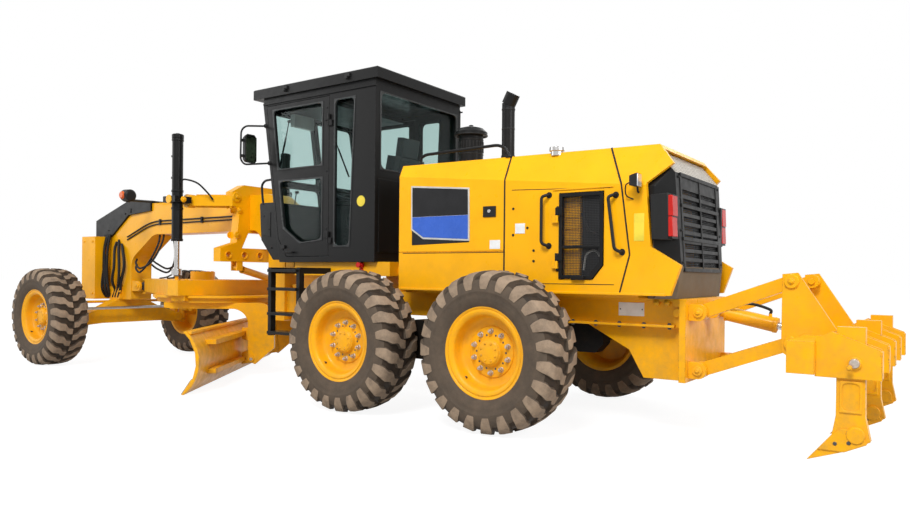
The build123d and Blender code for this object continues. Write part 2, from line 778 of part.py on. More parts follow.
# ---- saddle with its lift arms -------------------------------------------------------------------
saddle_half = 62.0
gimbal_pin = 35.0
trunnion = 22.0  # pins of a lift barrel in its gimbal
link_low = 1385.0
link_top = 1540.0
lift_boss_y = lift_y - 170
shift_base = (saddle_x, 284.0, 1312.0)  # pin of the centre-shift cylinder
shift_pin = 18.0
with BuildPart() as saddle:
    half_outline = [
        (560, link_low),
        (560, link_top),
        (335, 1610),
        (300, 1980),
        (400, 2060),
        (400, 2200),
        (240, 2290),
    ]
    outline = half_outline + [(-y, z) for y, z in reversed(half_outline)]
    cross_prism(outline, saddle_x - saddle_half, saddle_x + saddle_half)
    # passage of the gooseneck beam
    beam_y = (-beam_half - seat, beam_half + seat)
    beam_z = (beam_low - seat, beam_top + seat)
    block((saddle_x - 80, saddle_x + 80), beam_y, beam_z, mode=Mode.SUBTRACT)
    cross_prism(
        [(-260, link_top + 5), (260, link_top + 5), (170, beam_low - 30), (-170, beam_low - 30)],
        saddle_x - 80,
        saddle_x + 80,
        mode=Mode.SUBTRACT,
    )
    # holes of the link bar
    for y in (-450, -225, 0, 225, 450):
        hole_z = (link_low + link_top) / 2
        bar((saddle_x - 80, y, hole_z), (saddle_x + 80, y, hole_z), 34, mode=Mode.SUBTRACT)
    for side in (-1, 1):
        arm = [
            (saddle_x - saddle_half, side * 250),
            (saddle_x + saddle_half, side * 250),
            (lift_x + 70, side * (lift_boss_y - 50)),
            (lift_x + 70, side * (lift_boss_y + 40)),
            (lift_x - 60, side * (lift_boss_y + 40)),
            (saddle_x - saddle_half, side * 400),
        ]
        plan_prism(arm if side > 0 else arm[::-1], gimbal_z - 60, gimbal_z + 60)
        eye((lift_x, side * lift_boss_y, gimbal_z), (0, 1, 0), 78, 50, 0)
        bore_ends = [(lift_x, side * (lift_boss_y + offset), gimbal_z) for offset in (-60, 60)]
        bar(*bore_ends, gimbal_pin + pin_fit, mode=Mode.SUBTRACT)
    # lugs of the centre-shift cylinder under the link bar
    for offset in (-45, 45):
        block(
            (saddle_x + offset - 12, saddle_x + offset + 12),
            (shift_base[1] - 40, shift_base[1] + 40),
            (shift_base[2] - 32, link_low + 1),
        )
    bar((saddle_x - 57, *shift_base[1:]), (saddle_x + 57, *shift_base[1:]), shift_pin)
save(saddle, "saddle")

# ---- lift cylinders, each in its gimbal ----------------------------------------------------------
barrel_radius = 60.0
rod_radius = 30.0
barrel_low = 1620.0
barrel_top = 2830.0
gimbal_bore = barrel_radius + 12
with BuildPart() as lift_gimbal:
    block((lift_x - 115, lift_x + 115), (lift_y - 108, lift_y + 108), (gimbal_z - 36, gimbal_z + 36))
    bar((lift_x, lift_y, gimbal_z - 40), (lift_x, lift_y, gimbal_z + 40), gimbal_bore, mode=Mode.SUBTRACT)
    bore_ends = [(lift_x + offset, lift_y, gimbal_z) for offset in (-120, 120)]
    bar(*bore_ends, trunnion + pin_fit, mode=Mode.SUBTRACT)
    bar((lift_x, lift_y - 107, gimbal_z), (lift_x, lift_boss_y - 48, gimbal_z), gimbal_pin)
save_pair(lift_gimbal, "lift_gimbal")

with BuildPart() as lift_barrel:
    bar((lift_x, lift_y, barrel_low), (lift_x, lift_y, barrel_top), barrel_radius)
    bar((lift_x, lift_y, barrel_low + 40), (lift_x, lift_y, barrel_top - 30), 46, mode=Mode.SUBTRACT)
    gland = [(lift_x, lift_y, barrel_low + offset) for offset in (-1, 41)]
    bar(*gland, rod_radius + seat, mode=Mode.SUBTRACT)
    for side in (-1, 1):
        bar((lift_x + side * 54, lift_y, gimbal_z), (lift_x + side * 113, lift_y, gimbal_z), trunnion)
save_pair(lift_barrel, "lift_barrel")

foot_z = 1220.0
with BuildPart() as lift_rod:
    bar((lift_x, lift_y, foot_z + 20), (lift_x, lift_y, 2010), rod_radius)
    bar((lift_x, lift_y, 2000), (lift_x, lift_y, 2060), 45.5)
    bar((lift_x, lift_y, foot_z), (lift_x, lift_y, foot_z + 75), 56)
save_pair(lift_rod, "lift_rod")

# ---- front axle, leaning wheels and steering -----------------------------------------------------
lean_z = 600.0
arm_z = 695.0  # steering arms
lean_pin = 34.0
axle_half_x = 105.0
kingpin_low = 520.0
kingpin_top = 810.0
lean_bar_x = front_axle_x + 145
lean_bar_z = 835.0
lean_bar_pin = 14.0
kingpin = 28.0
with BuildPart() as front_axle:
    cross_prism(
        [
            (-lean_y + 75, lean_z - 70),
            (-420, lean_z - 50),
            (420, lean_z - 50),
            (lean_y - 75, lean_z - 70),
            (lean_y - 75, lean_z + 75),
            (420, lean_z + 160),
            (200, bolster_low - seat),
            (-200, bolster_low - seat),
            (-420, lean_z + 160),
            (-lean_y + 75, lean_z + 75),
        ],
        front_axle_x - axle_half_x,
        front_axle_x + axle_half_x,
    )
    for side in (-1, 1):
        for x in (front_axle_x - axle_half_x + 20, front_axle_x + axle_half_x - 20):
            low, high = sorted([side * (lean_y - 80), side * lean_y])
            block((x - 20, x + 20), (low, high), (lean_z - 52, lean_z + 52))
            eye((x, side * lean_y, lean_z), (1, 0, 0), 60, 20, 0)
        pin_ends = [(front_axle_x + end * axle_half_x, side * lean_y, lean_z) for end in (-1, 1)]
        bar(*pin_ends, lean_pin)
save(front_axle, "front_axle")

carrier_half = 60.0
with BuildPart() as lean_carrier:
    outer = lean_y + 50
    body_x = (front_axle_x - carrier_half, front_axle_x + carrier_half)
    block(body_x, (lean_y - 40, outer), (kingpin_low, kingpin_top))
    # room for the steering arm
    room_x = (front_axle_x - 80, front_axle_x + 80)
    block(room_x, (lean_y + 6, outer + 5), (arm_z - 45, arm_z + 45), mode=Mode.SUBTRACT)
    for low in (kingpin_low, kingpin_top - 30):
        block((front_axle_x - 50, front_axle_x + 50), (outer - 5, kingpin_y), (low, low + 30))
        eye((front_axle_x, kingpin_y, low + 15), (0, 0, 1), 50, 15, 0)
    bar((front_axle_x, kingpin_y, kingpin_low), (front_axle_x, kingpin_y, kingpin_top), kingpin)
    # lug and pin of the lean bar
    lug_y = (lean_y - 34, lean_y + 30)
    lug_top = lean_bar_z + 25
    block((front_axle_x + 40, lean_bar_x - 27), lug_y, (lean_bar_z - 60, lug_top))
    block((front_axle_x - 40, front_axle_x + 45), lug_y, (kingpin_top - 10, lug_top))
    bar((front_axle_x + 90, lean_y, lean_bar_z), (lean_bar_x + 24, lean_y, lean_bar_z), lean_bar_pin)
    bore_ends = [(front_axle_x + offset, lean_y, lean_z) for offset in (-150, 150)]
    bar(*bore_ends, lean_pin + pin_fit, mode=Mode.SUBTRACT)
save_pair(lean_carrier, "lean_carrier")

with BuildPart() as lean_bar:
    for side in (-1, 1):
        eye((lean_bar_x, side * lean_y, lean_bar_z), (1, 0, 0), 28, 20, lean_bar_pin + pin_fit)
    bar((lean_bar_x, -lean_y + 24, lean_bar_z), (lean_bar_x, lean_y - 24, lean_bar_z), 18)
save(lean_bar, "lean_bar")

tie_x = front_axle_x - steer_arm
with BuildPart() as knuckle:
    bar((front_axle_x, kingpin_y, kingpin_low + 35), (front_axle_x, kingpin_y, kingpin_top - 35), 56)
    bar((front_axle_x, kingpin_y + 30, axle_z), (front_axle_x, track_half + disc_offset + 50, axle_z), 60)
    block((tie_x, front_axle_x - 40), (kingpin_y - 26, kingpin_y + 26), (arm_z - 18, arm_z + 18))
    eye((tie_x, kingpin_y, arm_z), (0, 0, 1), 34, 18, 0)
    bar((tie_x, kingpin_y, arm_z - 30), (tie_x, kingpin_y, arm_z + 30), 14 + pin_fit, mode=Mode.SUBTRACT)
    bore_ends = [(front_axle_x, kingpin_y, z) for z in (kingpin_low - 20, kingpin_top + 20)]
    bar(*bore_ends, kingpin + pin_fit, mode=Mode.SUBTRACT)
save_pair(knuckle, "knuckle")

tie_z = arm_z + 66
with BuildPart() as tie_rod_end:
    bar((tie_x, kingpin_y, arm_z - 18), (tie_x, kingpin_y, tie_z - 20), 14)
    block((tie_x - 20, tie_x + 20), (kingpin_y - 20, kingpin_y + 20), (arm_z + 18 + seat, tie_z + 20))
    bar((tie_x - 40, kingpin_y, tie_z), (tie_x + 40, kingpin_y, tie_z), 12)
save(tie_rod_end, "tie_rod_end")

with BuildPart() as tie_rod:
    for x in (tie_x - 30, tie_x + 30):
        eye((x, kingpin_y, tie_z), (1, 0, 0), 26, 8, 12 + pin_fit)
        block((x - 8, x + 8), (kingpin_y - 90, kingpin_y - 22), (tie_z - 16, tie_z + 16))
    block((tie_x - 38, tie_x + 38), (kingpin_y - 110, kingpin_y - 60), (tie_z - 16, tie_z + 16))
    bar((tie_x, kingpin_y - 105, tie_z), (tie_x, -kingpin_y + 20, tie_z), 18)
    eye((tie_x, -kingpin_y, tie_z), (0, 0, 1), 34, 22, 16)
save(tie_rod, "tie_rod")

# ---- drawbar on its ball -------------------------------------------------------------------------
ball_radius = 75.0
with BuildPart() as drawbar_ball:
    with Locations((ball_x, 0, ball_z)):
        Sphere(ball_radius)
    bar((ball_x, -cheek_y - plate, ball_z), (ball_x, cheek_y + plate, ball_z), 30)
    bar((ball_x, 0, ball_z - 106), (ball_x, 0, ball_z + 106), 30)
save(drawbar_ball, "drawbar_ball")

fork_low = ball_z - 106
fork_high = ball_z + 106
shoe_angles = (29.5, 108.7, -29.5, -108.7)
flange_outer = circle_radius + 20
drive_x = 2700.0
with BuildPart() as drawbar:
    beam_y = lift_y + 50
    half_outline = [(lift_x - 100, beam_y), (lift_x + 100, beam_y), (3860, 95)]
    outline = half_outline + [(x, -y) for x, y in reversed(half_outline)]
    plan_prism(outline, drawbar_low, drawbar_top)
    # open triangle between the two beams and the cross beam
    plan_prism(
        [(lift_x + 100, -620), (3420, -60), (3420, 60), (lift_x + 100, 620)],
        drawbar_low - 1,
        drawbar_top + 1,
        mode=Mode.SUBTRACT,
    )
    # web that carries the circle drive, with its round gear housing
    block((drive_x - 190, drive_x + 190), (-440, 440), (drawbar_low, drawbar_low + 60))
    bar((drive_x, 0, drawbar_low + 50), (drive_x, 0, 1265), 150)
    bar((drive_x + 135, 0, 1110), (drive_x + 290, 0, 1110), 58)  # its motor
    # fork that holds the ball's upright pin
    for low, high in ((fork_low, fork_low + 25), (fork_high - 25, fork_high)):
        block((3700, ball_x), (-60, 60), (low, high))
        eye((ball_x, 0, (low + high) / 2), (0, 0, 1), 60, 12.5, 0)
    block((3680, 3780), (-60, 60), (fork_low, fork_high))
    bar((ball_x, 0, fork_low - 1), (ball_x, 0, fork_high + 1), 30 + pin_fit, mode=Mode.SUBTRACT)
    # four shoes that carry the circle's flange
    for angle in shoe_angles:
        along = Vector(cos(radians(angle)), sin(radians(angle)), 0)
        middle = Vector(circle_x, 0, 0) + along * (flange_outer + 22)
        with BuildSketch(Plane(origin=(middle.X, middle.Y, flange_low - 30), x_dir=along)) as shoe:
            Rectangle(34, 180)
        extrude(shoe.sketch, amount=drawbar_low + 10 - (flange_low - 30))
        middle = Vector(circle_x, 0, 0) + along * (flange_outer - 8)
        with BuildSketch(Plane(origin=(middle.X, middle.Y, flange_low - 30), x_dir=along)) as lip:
            Rectangle(40, 180)
        extrude(lip.sketch, amount=30 - seat)
    # ball studs of the lift cylinders
    for side in (-1, 1):
        bar((lift_x, side * lift_y, drawbar_top - 1), (lift_x, side * lift_y, foot_z - 12), 20)
    # stud of the centre-shift cylinder, on the right
    bar((lift_x - 99, *shift_eye[1:]), (shift_eye[0] + 52, *shift_eye[1:]), shift_pin)
save(drawbar, "drawbar")

# ---- circle, in line with the blade --------------------------------------------------------------
# These pieces are drawn with the blade square across the machine and the circle's middle at
# X = 0, then turned and moved to their place.
blade_place = Location((circle_x, 0, 0), (0, 0, blade_angle))


def save_turned(builder, name):
    """Turn a piece with the blade, move it to the circle, and write it."""
    with BuildPart() as turned:
        add(builder.part.moved(blade_place))
    save(turned, name)


arm_half = 30.0
tooth_count = 60
leg_front = -505.0
tip_pin = (-545.0, 240.0)
tip_pin_radius = 30.0
with BuildPart() as circle:
    for low, high, inner, outer in (
        (circle_low, flange_low + 1, circle_radius - 130, circle_radius - 30),
        (flange_low, drawbar_low - seat, circle_radius - 130, flange_outer),
    ):
        with BuildSketch(Plane.XY.offset(low)) as ring:
            Circle(outer)
            Circle(inner, mode=Mode.SUBTRACT)
        extrude(ring.sketch, amount=high - low)
    # teeth of the ring gear, inside the lower ring
    with BuildSketch(Plane.XY.offset(circle_low)) as teeth:
        with PolarLocations(circle_radius - 142, tooth_count):
            Rectangle(28, 30)
    extrude(teeth.sketch, amount=flange_low - circle_low)
    for side in (-1, 1):
        with BuildSketch(Plane.XZ.offset(-side * arm_offset - arm_half)) as arm:
            with BuildLine():
                Polyline(
                    (-640, circle_low + 1),
                    (470, circle_low + 1),
                    (470, circle_low - 60),
                    (400, circle_low - 72),
                    (-300, circle_low - 72),
                )
                ThreePointArc(
                    (-300, circle_low - 72),
                    (-440, circle_low - 115),
                    (leg_front, circle_low - 235),
                )
                Polyline(
                    (leg_front, circle_low - 235),
                    (leg_front, 215),
                    (-590, 178),
                    (-810, 370),
                    (-810, circle_low - 190),
                )
                ThreePointArc((-810, circle_low - 190), (-760, circle_low - 60), (-640, circle_low + 1))
            make_face()
            with Locations(tip_pin):
                Circle(tip_pin_radius + pin_fit, mode=Mode.SUBTRACT)
        extrude(arm.sketch, amount=2 * arm_half)
save_turned(circle, "circle")

# ---- blade, its slide rails and the brackets that tip it -----------------------------------------
blade_face = -240.0  # chord of the curved face, from the middle of the circle
blade_sag = 130.0
blade_low = 59.0
edge_low = 45.0  # cutting edge
rail_back = -465.0
slide_rails = [(215.0, 265.0), (515.0, 565.0)]  # bottom and top of each
bracket_y = arm_offset - arm_half - 45
with BuildPart() as blade_brackets:
    for side in (-1, 1):
        y_limits = sorted([side * (bracket_y - 40), side * (bracket_y + 40)])
        side_prism(
            [
                (-600, 200),
                (-420, 170),
                (-420, 310),
                (rail_back - 25, 330),
                (rail_back - 25, 450),
                (-420, 470),
                (-420, 605),
                (-560, 605),
            ],
            *y_limits,
        )
        for low, high in slide_rails:
            block((rail_back - seat, -380), y_limits, (low - seat, high + seat), mode=Mode.SUBTRACT)
        pin_ends = [(tip_pin[0], side * y, tip_pin[1]) for y in (bracket_y + 38, arm_offset + arm_half)]
        bar(*pin_ends, tip_pin_radius)
save_turned(blade_brackets, "blade_brackets")


def blade_back_at(z):
    """Rear face of the curved moldboard at a height."""
    radius = ((blade_height / 2) ** 2 + blade_sag**2) / (2 * blade_sag)
    rise = z - blade_low - blade_height / 2
    return blade_face - blade_thickness - blade_sag + radius - (radius**2 - rise**2) ** 0.5


with BuildPart() as blade:
    blade_left = blade_shift + blade_length / 2
    blade_right = blade_shift - blade_length / 2
    top = blade_low + blade_height
    middle = (blade_low + top) / 2
    with BuildSketch(Plane.XZ.offset(-blade_left)) as moldboard:
        with BuildLine():
            ThreePointArc((blade_face, blade_low), (blade_face - blade_sag, middle), (blade_face, top))
            Line((blade_face, top), (blade_face - blade_thickness, top))
            ThreePointArc(
                (blade_face - blade_thickness, top),
                (blade_face - blade_sag - blade_thickness, middle),
                (blade_face - blade_thickness, blade_low),
            )
            Line((blade_face - blade_thickness, blade_low), (blade_face, blade_low))
        make_face()
    extrude(moldboard.sketch, amount=blade_length)
    # cutting edge along the bottom
    side_prism(
        [
            (blade_face - 105, edge_low + 140),
            (blade_face - 10, edge_low),
            (blade_face + 14, edge_low),
            (blade_face - 80, edge_low + 150),
        ],
        blade_right,
        blade_left,
    )
    for low, high in slide_rails:
        front = max(blade_back_at(low), blade_back_at(high)) + 3
        block((rail_back, front), (blade_right + 330, blade_left - 330), (low, high))
save_turned(blade, "blade")

# ---- centre-shift cylinder -----------------------------------------------------------------------
shift_run = Vector(*shift_eye) - Vector(*shift_base)
shift_along = shift_run.normalized()


def along_shift(distance):
    """Point on the centre-shift cylinder's line, from its base pin."""
    return tuple(Vector(*shift_base) + shift_along * distance)


with BuildPart() as shift_barrel:
    eye(shift_base, (1, 0, 0), 34, 28, 0)
    bar(along_shift(20), along_shift(110), 18)
    bar(along_shift(92), along_shift(712), 42)
    bar(along_shift(112), along_shift(678), 32, mode=Mode.SUBTRACT)
    bar(along_shift(670), along_shift(713), 22 + seat, mode=Mode.SUBTRACT)
    pin_ends = [(saddle_x + offset, *shift_base[1:]) for offset in (-60, 60)]
    bar(*pin_ends, shift_pin + pin_fit, mode=Mode.SUBTRACT)
save(shift_barrel, "shift_barrel")

with BuildPart() as shift_rod:
    bar(along_shift(395), along_shift(shift_run.length), 22)
    bar(along_shift(383), along_shift(413), 31.5)
    bar(along_shift(shift_run.length - 30), along_shift(shift_run.length + 30), 32)
save(shift_rod, "shift_rod")

# ---- ripper --------------------------------------------------------------------------------------
arm_thick = 35.0
carriage_x = ripper_x - ripper_reach
shank_places = (-900, 0, 900)
pocket_places = (-900, -450, 0, 450, 900)
for name, base_z in (("ripper_lower_arms", ripper_low_pin), ("ripper_upper_arms", ripper_high_pin)):
    with BuildPart() as arms:
        for side in (-1, 1):
            y_limits = sorted([side * (ripper_arm_y - arm_thick), side * (ripper_arm_y + arm_thick)])
            side_prism(
                [
                    (ripper_x, base_z - 55),
                    (ripper_x, base_z + 55),
                    (carriage_x, base_z + ripper_rise + 50),
                    (carriage_x, base_z + ripper_rise - 50),
                ],
                *y_limits,
            )
            for x, z, radius in ((ripper_x, base_z, 60), (carriage_x, base_z + ripper_rise, 54)):
                eye((x, side * ripper_arm_y, z), (0, 1, 0), radius, arm_thick, 0)
                bore_ends = [(x, side * (ripper_arm_y + offset), z) for offset in (-40, 40)]
                bar(*bore_ends, ripper_pin + pin_fit, mode=Mode.SUBTRACT)
    save(arms, name)

ripper_eye = (carriage_x + 20, 0.0, ripper_low_pin + ripper_rise + 60)
with BuildPart() as ripper_carriage:
    low_z = ripper_low_pin + ripper_rise
    high_z = ripper_high_pin + ripper_rise
    for side in (-1, 1):
        inner = ripper_arm_y + arm_thick + gap
        y_limits = sorted([side * inner, side * (inner + plate)])
        side_prism(
            [
                (carriage_x + 60, high_z + 50),
                (carriage_x - 40, high_z + 60),
                (carriage_x - 290, 900),
                (carriage_x - 290, 650),
                (carriage_x - 80, 640),
                (carriage_x + 65, low_z - 60),
            ],
            *y_limits,
        )
        for z in (low_z, high_z):
            pin_ends = [(carriage_x, side * y, z) for y in (ripper_arm_y - 50, inner + plate)]
            bar(*pin_ends, ripper_pin)
        # lugs of the ripper cylinder
        lug_y = sorted([side * 45, side * 75])
        lug_front = ripper_eye[0] + 50
        side_prism(
            [
                (lug_front, ripper_eye[2] - 50),
                (lug_front, ripper_eye[2] + 50),
                (carriage_x - 120, 900),
                (carriage_x - 120, 700),
            ],
            *lug_y,
        )
    bar((ripper_eye[0], -75, ripper_eye[2]), (ripper_eye[0], 75, ripper_eye[2]), 22)
    # toolbar and the pockets behind it
    block((carriage_x - 240, carriage_x - 80), (-1010, 1010), (665, 865))
    for y in pocket_places:
        for offset in (-52, 34):
            side_prism(
                [
                    (carriage_x - 235, 880),
                    (carriage_x - 330, 930),
                    (carriage_x - 590, 830),
                    (carriage_x - 600, 650),
                    (carriage_x - 235, 650),
                ],
                y + offset,
                y + offset + 18,
            )
        block((carriage_x - 345, carriage_x - 235), (y - 40, y + 40), (660, 870))
        block((carriage_x - 600, carriage_x - 520), (y - 40, y + 40), (660, 820))
    # shanks with their points
    for y in shank_places:
        side_prism(
            [
                (carriage_x - 355, 960),
                (carriage_x - 510, 960),
                (carriage_x - 512, 420),
                (carriage_x - 540, 280),
                (carriage_x - 400, 205),
                (carriage_x - 190, 130),
                (carriage_x - 330, 300),
                (carriage_x - 352, 420),
            ],
            y - 34 + seat,
            y + 34 - seat,
        )
save(ripper_carriage, "ripper_carriage")

ripper_base = (ripper_x, 0.0, ripper_high_pin)
ripper_run = Vector(*ripper_eye) - Vector(*ripper_base)
ripper_along = ripper_run.normalized()


def along_ripper(distance):
    """Point on the ripper cylinder's line, from its base pin."""
    return tuple(Vector(*ripper_base) + ripper_along * distance)


with BuildPart() as ripper_barrel:
    eye(ripper_base, (0, 1, 0), 52, 40, 0)
    bar(along_ripper(30), along_ripper(100), 36)
    bar(along_ripper(82), along_ripper(470), 56)
    bar(along_ripper(112), along_ripper(446), 42, mode=Mode.SUBTRACT)
    bar(along_ripper(440), along_ripper(471), 26 + seat, mode=Mode.SUBTRACT)
    bore_ends = [(ripper_x, y, ripper_high_pin) for y in (-60, 60)]
    bar(*bore_ends, ripper_pin + pin_fit, mode=Mode.SUBTRACT)
save(ripper_barrel, "ripper_barrel")

with BuildPart() as ripper_rod:
    bar(along_ripper(190), along_ripper(ripper_run.length - 60), 26)
    bar(along_ripper(178), along_ripper(208), 41.5)
    bar(along_ripper(ripper_run.length - 85), along_ripper(ripper_run.length - 50), 36)
save(ripper_rod, "ripper_rod")
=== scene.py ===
"""Motor grader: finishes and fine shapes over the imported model. Metres, +X forward, +Y left, +Z up."""
import json
import math

import bmesh
import bpy
from mathutils import Matrix, Vector


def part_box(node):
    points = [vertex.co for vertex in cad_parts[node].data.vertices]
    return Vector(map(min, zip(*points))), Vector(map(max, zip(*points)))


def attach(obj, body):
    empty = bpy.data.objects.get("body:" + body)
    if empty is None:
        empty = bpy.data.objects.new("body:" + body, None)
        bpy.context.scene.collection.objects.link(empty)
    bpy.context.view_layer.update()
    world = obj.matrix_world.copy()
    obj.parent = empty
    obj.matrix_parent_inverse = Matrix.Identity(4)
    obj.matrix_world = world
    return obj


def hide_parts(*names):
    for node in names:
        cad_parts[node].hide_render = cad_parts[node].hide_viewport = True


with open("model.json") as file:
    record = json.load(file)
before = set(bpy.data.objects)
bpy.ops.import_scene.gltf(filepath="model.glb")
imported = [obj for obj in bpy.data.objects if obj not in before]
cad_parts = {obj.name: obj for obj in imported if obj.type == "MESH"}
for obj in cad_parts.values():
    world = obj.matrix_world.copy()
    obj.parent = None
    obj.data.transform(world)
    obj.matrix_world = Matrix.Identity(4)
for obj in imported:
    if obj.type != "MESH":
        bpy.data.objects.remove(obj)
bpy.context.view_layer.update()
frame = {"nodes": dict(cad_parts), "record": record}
nodes = frame["nodes"]
SIDES = {1: "left", -1: "right"}
REAR, FRONT, CARRIAGE = "rear_machine", "front_machine", "ripper_carriage"
OUT, UP = (0, 1, 0), (0, 0, 1)


# ---- materials: every one is a small node tree ----
class Nodes:
    """An emptied node tree, with short calls for the nodes used here."""

    def __init__(self, owner, kind):
        owner.use_nodes = True
        self.tree = owner.node_tree
        self.tree.nodes.clear()
        self.output = self.add("ShaderNodeOutput" + kind)

    def add(self, kind, sockets=None, **settings):
        """A node with its settings, and with values or links for its sockets."""
        node = self.tree.nodes.new(kind)
        for key, value in settings.items():
            setattr(node, key, value)
        for key, value in (sockets or {}).items():
            self.put(node.inputs[key], value)
        return node

    def put(self, socket, value):
        """Give a socket a number, a colour or another node's output."""
        if isinstance(value, (int, float)):
            socket.default_value = value
        elif isinstance(value, tuple):
            socket.default_value = (*value, 1)
        else:
            self.tree.links.new(value, socket)

    def math(self, operation, a, b=None):
        sockets = {0: a} if b is None else {0: a, 1: b}
        return self.add("ShaderNodeMath", sockets, operation=operation).outputs[0]

    def blend(self, factor, first, second):
        """Send a mixture of two shaders to the output."""
        sockets = {0: factor, 1: first.outputs[0], 2: second.outputs[0]}
        self.put(self.output.inputs[0], self.add("ShaderNodeMixShader", sockets).outputs[0])

    def pale_rays(self):
        """1 for what the camera sees directly, in a gloss or through glass."""
        rays = self.add("ShaderNodeLightPath").outputs
        through = self.math("MAXIMUM", rays["Is Glossy Ray"], rays["Is Transmission Ray"])
        return self.math("MAXIMUM", rays["Is Camera Ray"], through)


class Finish(Nodes):
    """A material round one principled shader."""

    def __init__(self, name):
        self.material = bpy.data.materials.new(name)
        super().__init__(self.material, "Material")
        self.shader = self.add("ShaderNodeBsdfPrincipled")
        self.put(self.output.inputs[0], self.shader.outputs[0])

    def look(self, sockets, bumps=None):
        """Fill the shader's sockets; bumps are for the call of the same name. Gives back the material."""
        for key, value in sockets.items():
            self.put(self.shader.inputs[key], value)
        if bumps:
            self.bumps(*bumps)
        return self.material

    def place(self):
        """The point in the machine's frame, in metres."""
        return self.add("ShaderNodeTexCoord").outputs["Object"]

    def noise(self, scale, detail=4.0, rough=0.6):
        sockets = {"Vector": self.place(), "Scale": scale, "Detail": detail, "Roughness": rough}
        return self.add("ShaderNodeTexNoise", sockets).outputs["Fac"]

    def ramp(self, value, low, high, low_value=0.0, high_value=1.0):
        limits = {"From Min": low, "From Max": high, "To Min": low_value, "To Max": high_value}
        return self.add("ShaderNodeMapRange", {"Value": value, **limits}, clamp=True).outputs[0]

    def mix(self, factor, first, second):
        sockets = {"Factor": factor, "A": first, "B": second}
        return self.add("ShaderNodeMix", sockets, data_type="RGBA").outputs["Result"]

    def rounded(self, radius):
        """The normal of a surface with rounded edges."""
        return self.add("ShaderNodeBevel", {"Radius": radius}, samples=4).outputs[0]

    def edge(self, radius):
        """1 on corners and edges within a radius, 0 on flat faces."""
        flat = self.add("ShaderNodeNewGeometry").outputs["Normal"]
        dot = self.add("ShaderNodeVectorMath", {0: self.rounded(radius), 1: flat}, operation="DOT_PRODUCT")
        return self.ramp(dot.outputs["Value"], 0.98, 0.8)

    def bumps(self, radius, height, strength, distance):
        """Rounded-looking edges, with a bump over them."""
        shape = {"Height": height, "Normal": self.rounded(radius)}
        bump = self.add("ShaderNodeBump", {"Strength": strength, "Distance": distance, **shape})
        self.put(self.shader.inputs["Normal"], bump.outputs[0])


def scaled(colour, amount):
    return tuple(c * amount for c in colour)


def paint(name, colour, worn, roughness=0.32, dust=0.35, gloss=0.2):
    """Machine enamel: faint mottling, dust low down and in patches, and rubbed edges. The dust's dark brown,
    heaviest low down, also stands for painted shade on the low parts.
    """
    t = Finish(name)
    base = t.mix(t.ramp(t.noise(3.0, 5.0), 0.35, 0.75), colour, scaled(colour, 0.86))
    rubbed = t.math("MULTIPLY", t.edge(0.008), t.ramp(t.noise(60.0, 6.0, 0.7), 0.52, 0.6))
    height = t.add("ShaderNodeSeparateXYZ", {0: t.place()}).outputs["Z"]
    patches = t.ramp(t.noise(9.0, 8.0, 0.75), 0.38, 0.72, 0.0, dust)
    # dark brown towards the bottom: dust, and painted shade under the machine's low parts
    cover = t.math("MULTIPLY", t.ramp(height, 1.5, 0.1), patches)
    rough = t.ramp(t.noise(14.0, 6.0), 0.3, 0.8, roughness - 0.07, roughness + 0.16)
    return t.look({
        "Base Color": t.mix(cover, t.mix(rubbed, base, worn), (0.24, 0.155, 0.08)),
        "Roughness": t.math("ADD", rough, t.math("MULTIPLY", cover, 0.5)),
        "Specular IOR Level": gloss,
        "Coat Weight": gloss * 0.3,
        "Coat Roughness": 0.12,
    }, (0.006, t.noise(220.0, 3.0), 0.04, 0.001))


def rubber(name, bare=(0.085, 0.062, 0.045), dusty=(0.39, 0.285, 0.195), least=0.34):
    """Tyre rubber under dry grey-brown dust, thicker in patches and along the edges."""
    t = Finish(name)
    clods, fine = t.noise(9.0, 8.0, 0.7), t.noise(130.0, 6.0, 0.7)
    edges = t.math("MULTIPLY", t.edge(0.008), t.ramp(fine, 0.3, 0.7))
    cover = t.math("MAXIMUM", t.ramp(clods, 0.36, 0.66, least, 0.85), edges)
    return t.look({
        "Base Color": t.mix(cover, bare, dusty),
        "Roughness": t.ramp(cover, 0, 1, 0.62, 0.92),
        "Specular IOR Level": 0.2,
    }, (0.006, t.math("ADD", clods, fine), 0.35, 0.004))


def metal(name, colour, roughness=0.3, grime=0.3, metallic=1.0):
    """Bare or plated metal with smears."""
    t = Finish(name)
    smear = t.noise(20.0, 6.0, 0.7)
    return t.look({
        "Base Color": t.mix(t.ramp(smear, 0.45, 0.75, 0.0, grime), colour, (0.1, 0.075, 0.05)),
        "Roughness": t.ramp(smear, 0.3, 0.8, roughness, roughness + 0.25),
        "Metallic": metallic,
    }, (0.002, t.noise(300.0, 2.0), 0.05, 0.0005))


def plastic(name, colour, roughness=0.5, bump=0.12):
    """Moulded plastic or trim with a fine grain."""
    t = Finish(name)
    blotch = t.noise(6.0, 4.0)
    return t.look({
        "Base Color": t.mix(t.ramp(blotch, 0.4, 0.8), colour, scaled(colour, 0.7)),
        "Roughness": t.ramp(blotch, 0.3, 0.8, roughness - 0.08, roughness + 0.1),
        "Specular IOR Level": 0.22,
    }, (0.003, t.noise(450.0, 2.0), bump, 0.0006))


def cloth(name, colour):
    """Woven seat cloth."""
    t = Finish(name)
    weave = t.add(
        "ShaderNodeTexWave",
        {"Vector": t.place(), "Scale": 240.0, "Distortion": 2.0},
        wave_type="BANDS",
        bands_direction="DIAGONAL",
    )
    return t.look({
        "Base Color": t.mix(t.ramp(t.noise(12.0), 0.3, 0.7), colour, scaled(colour, 1.8)),
        "Roughness": 0.9,
        "Sheen Weight": 0.3,
    }, (0.02, weave.outputs["Fac"], 0.25, 0.001))


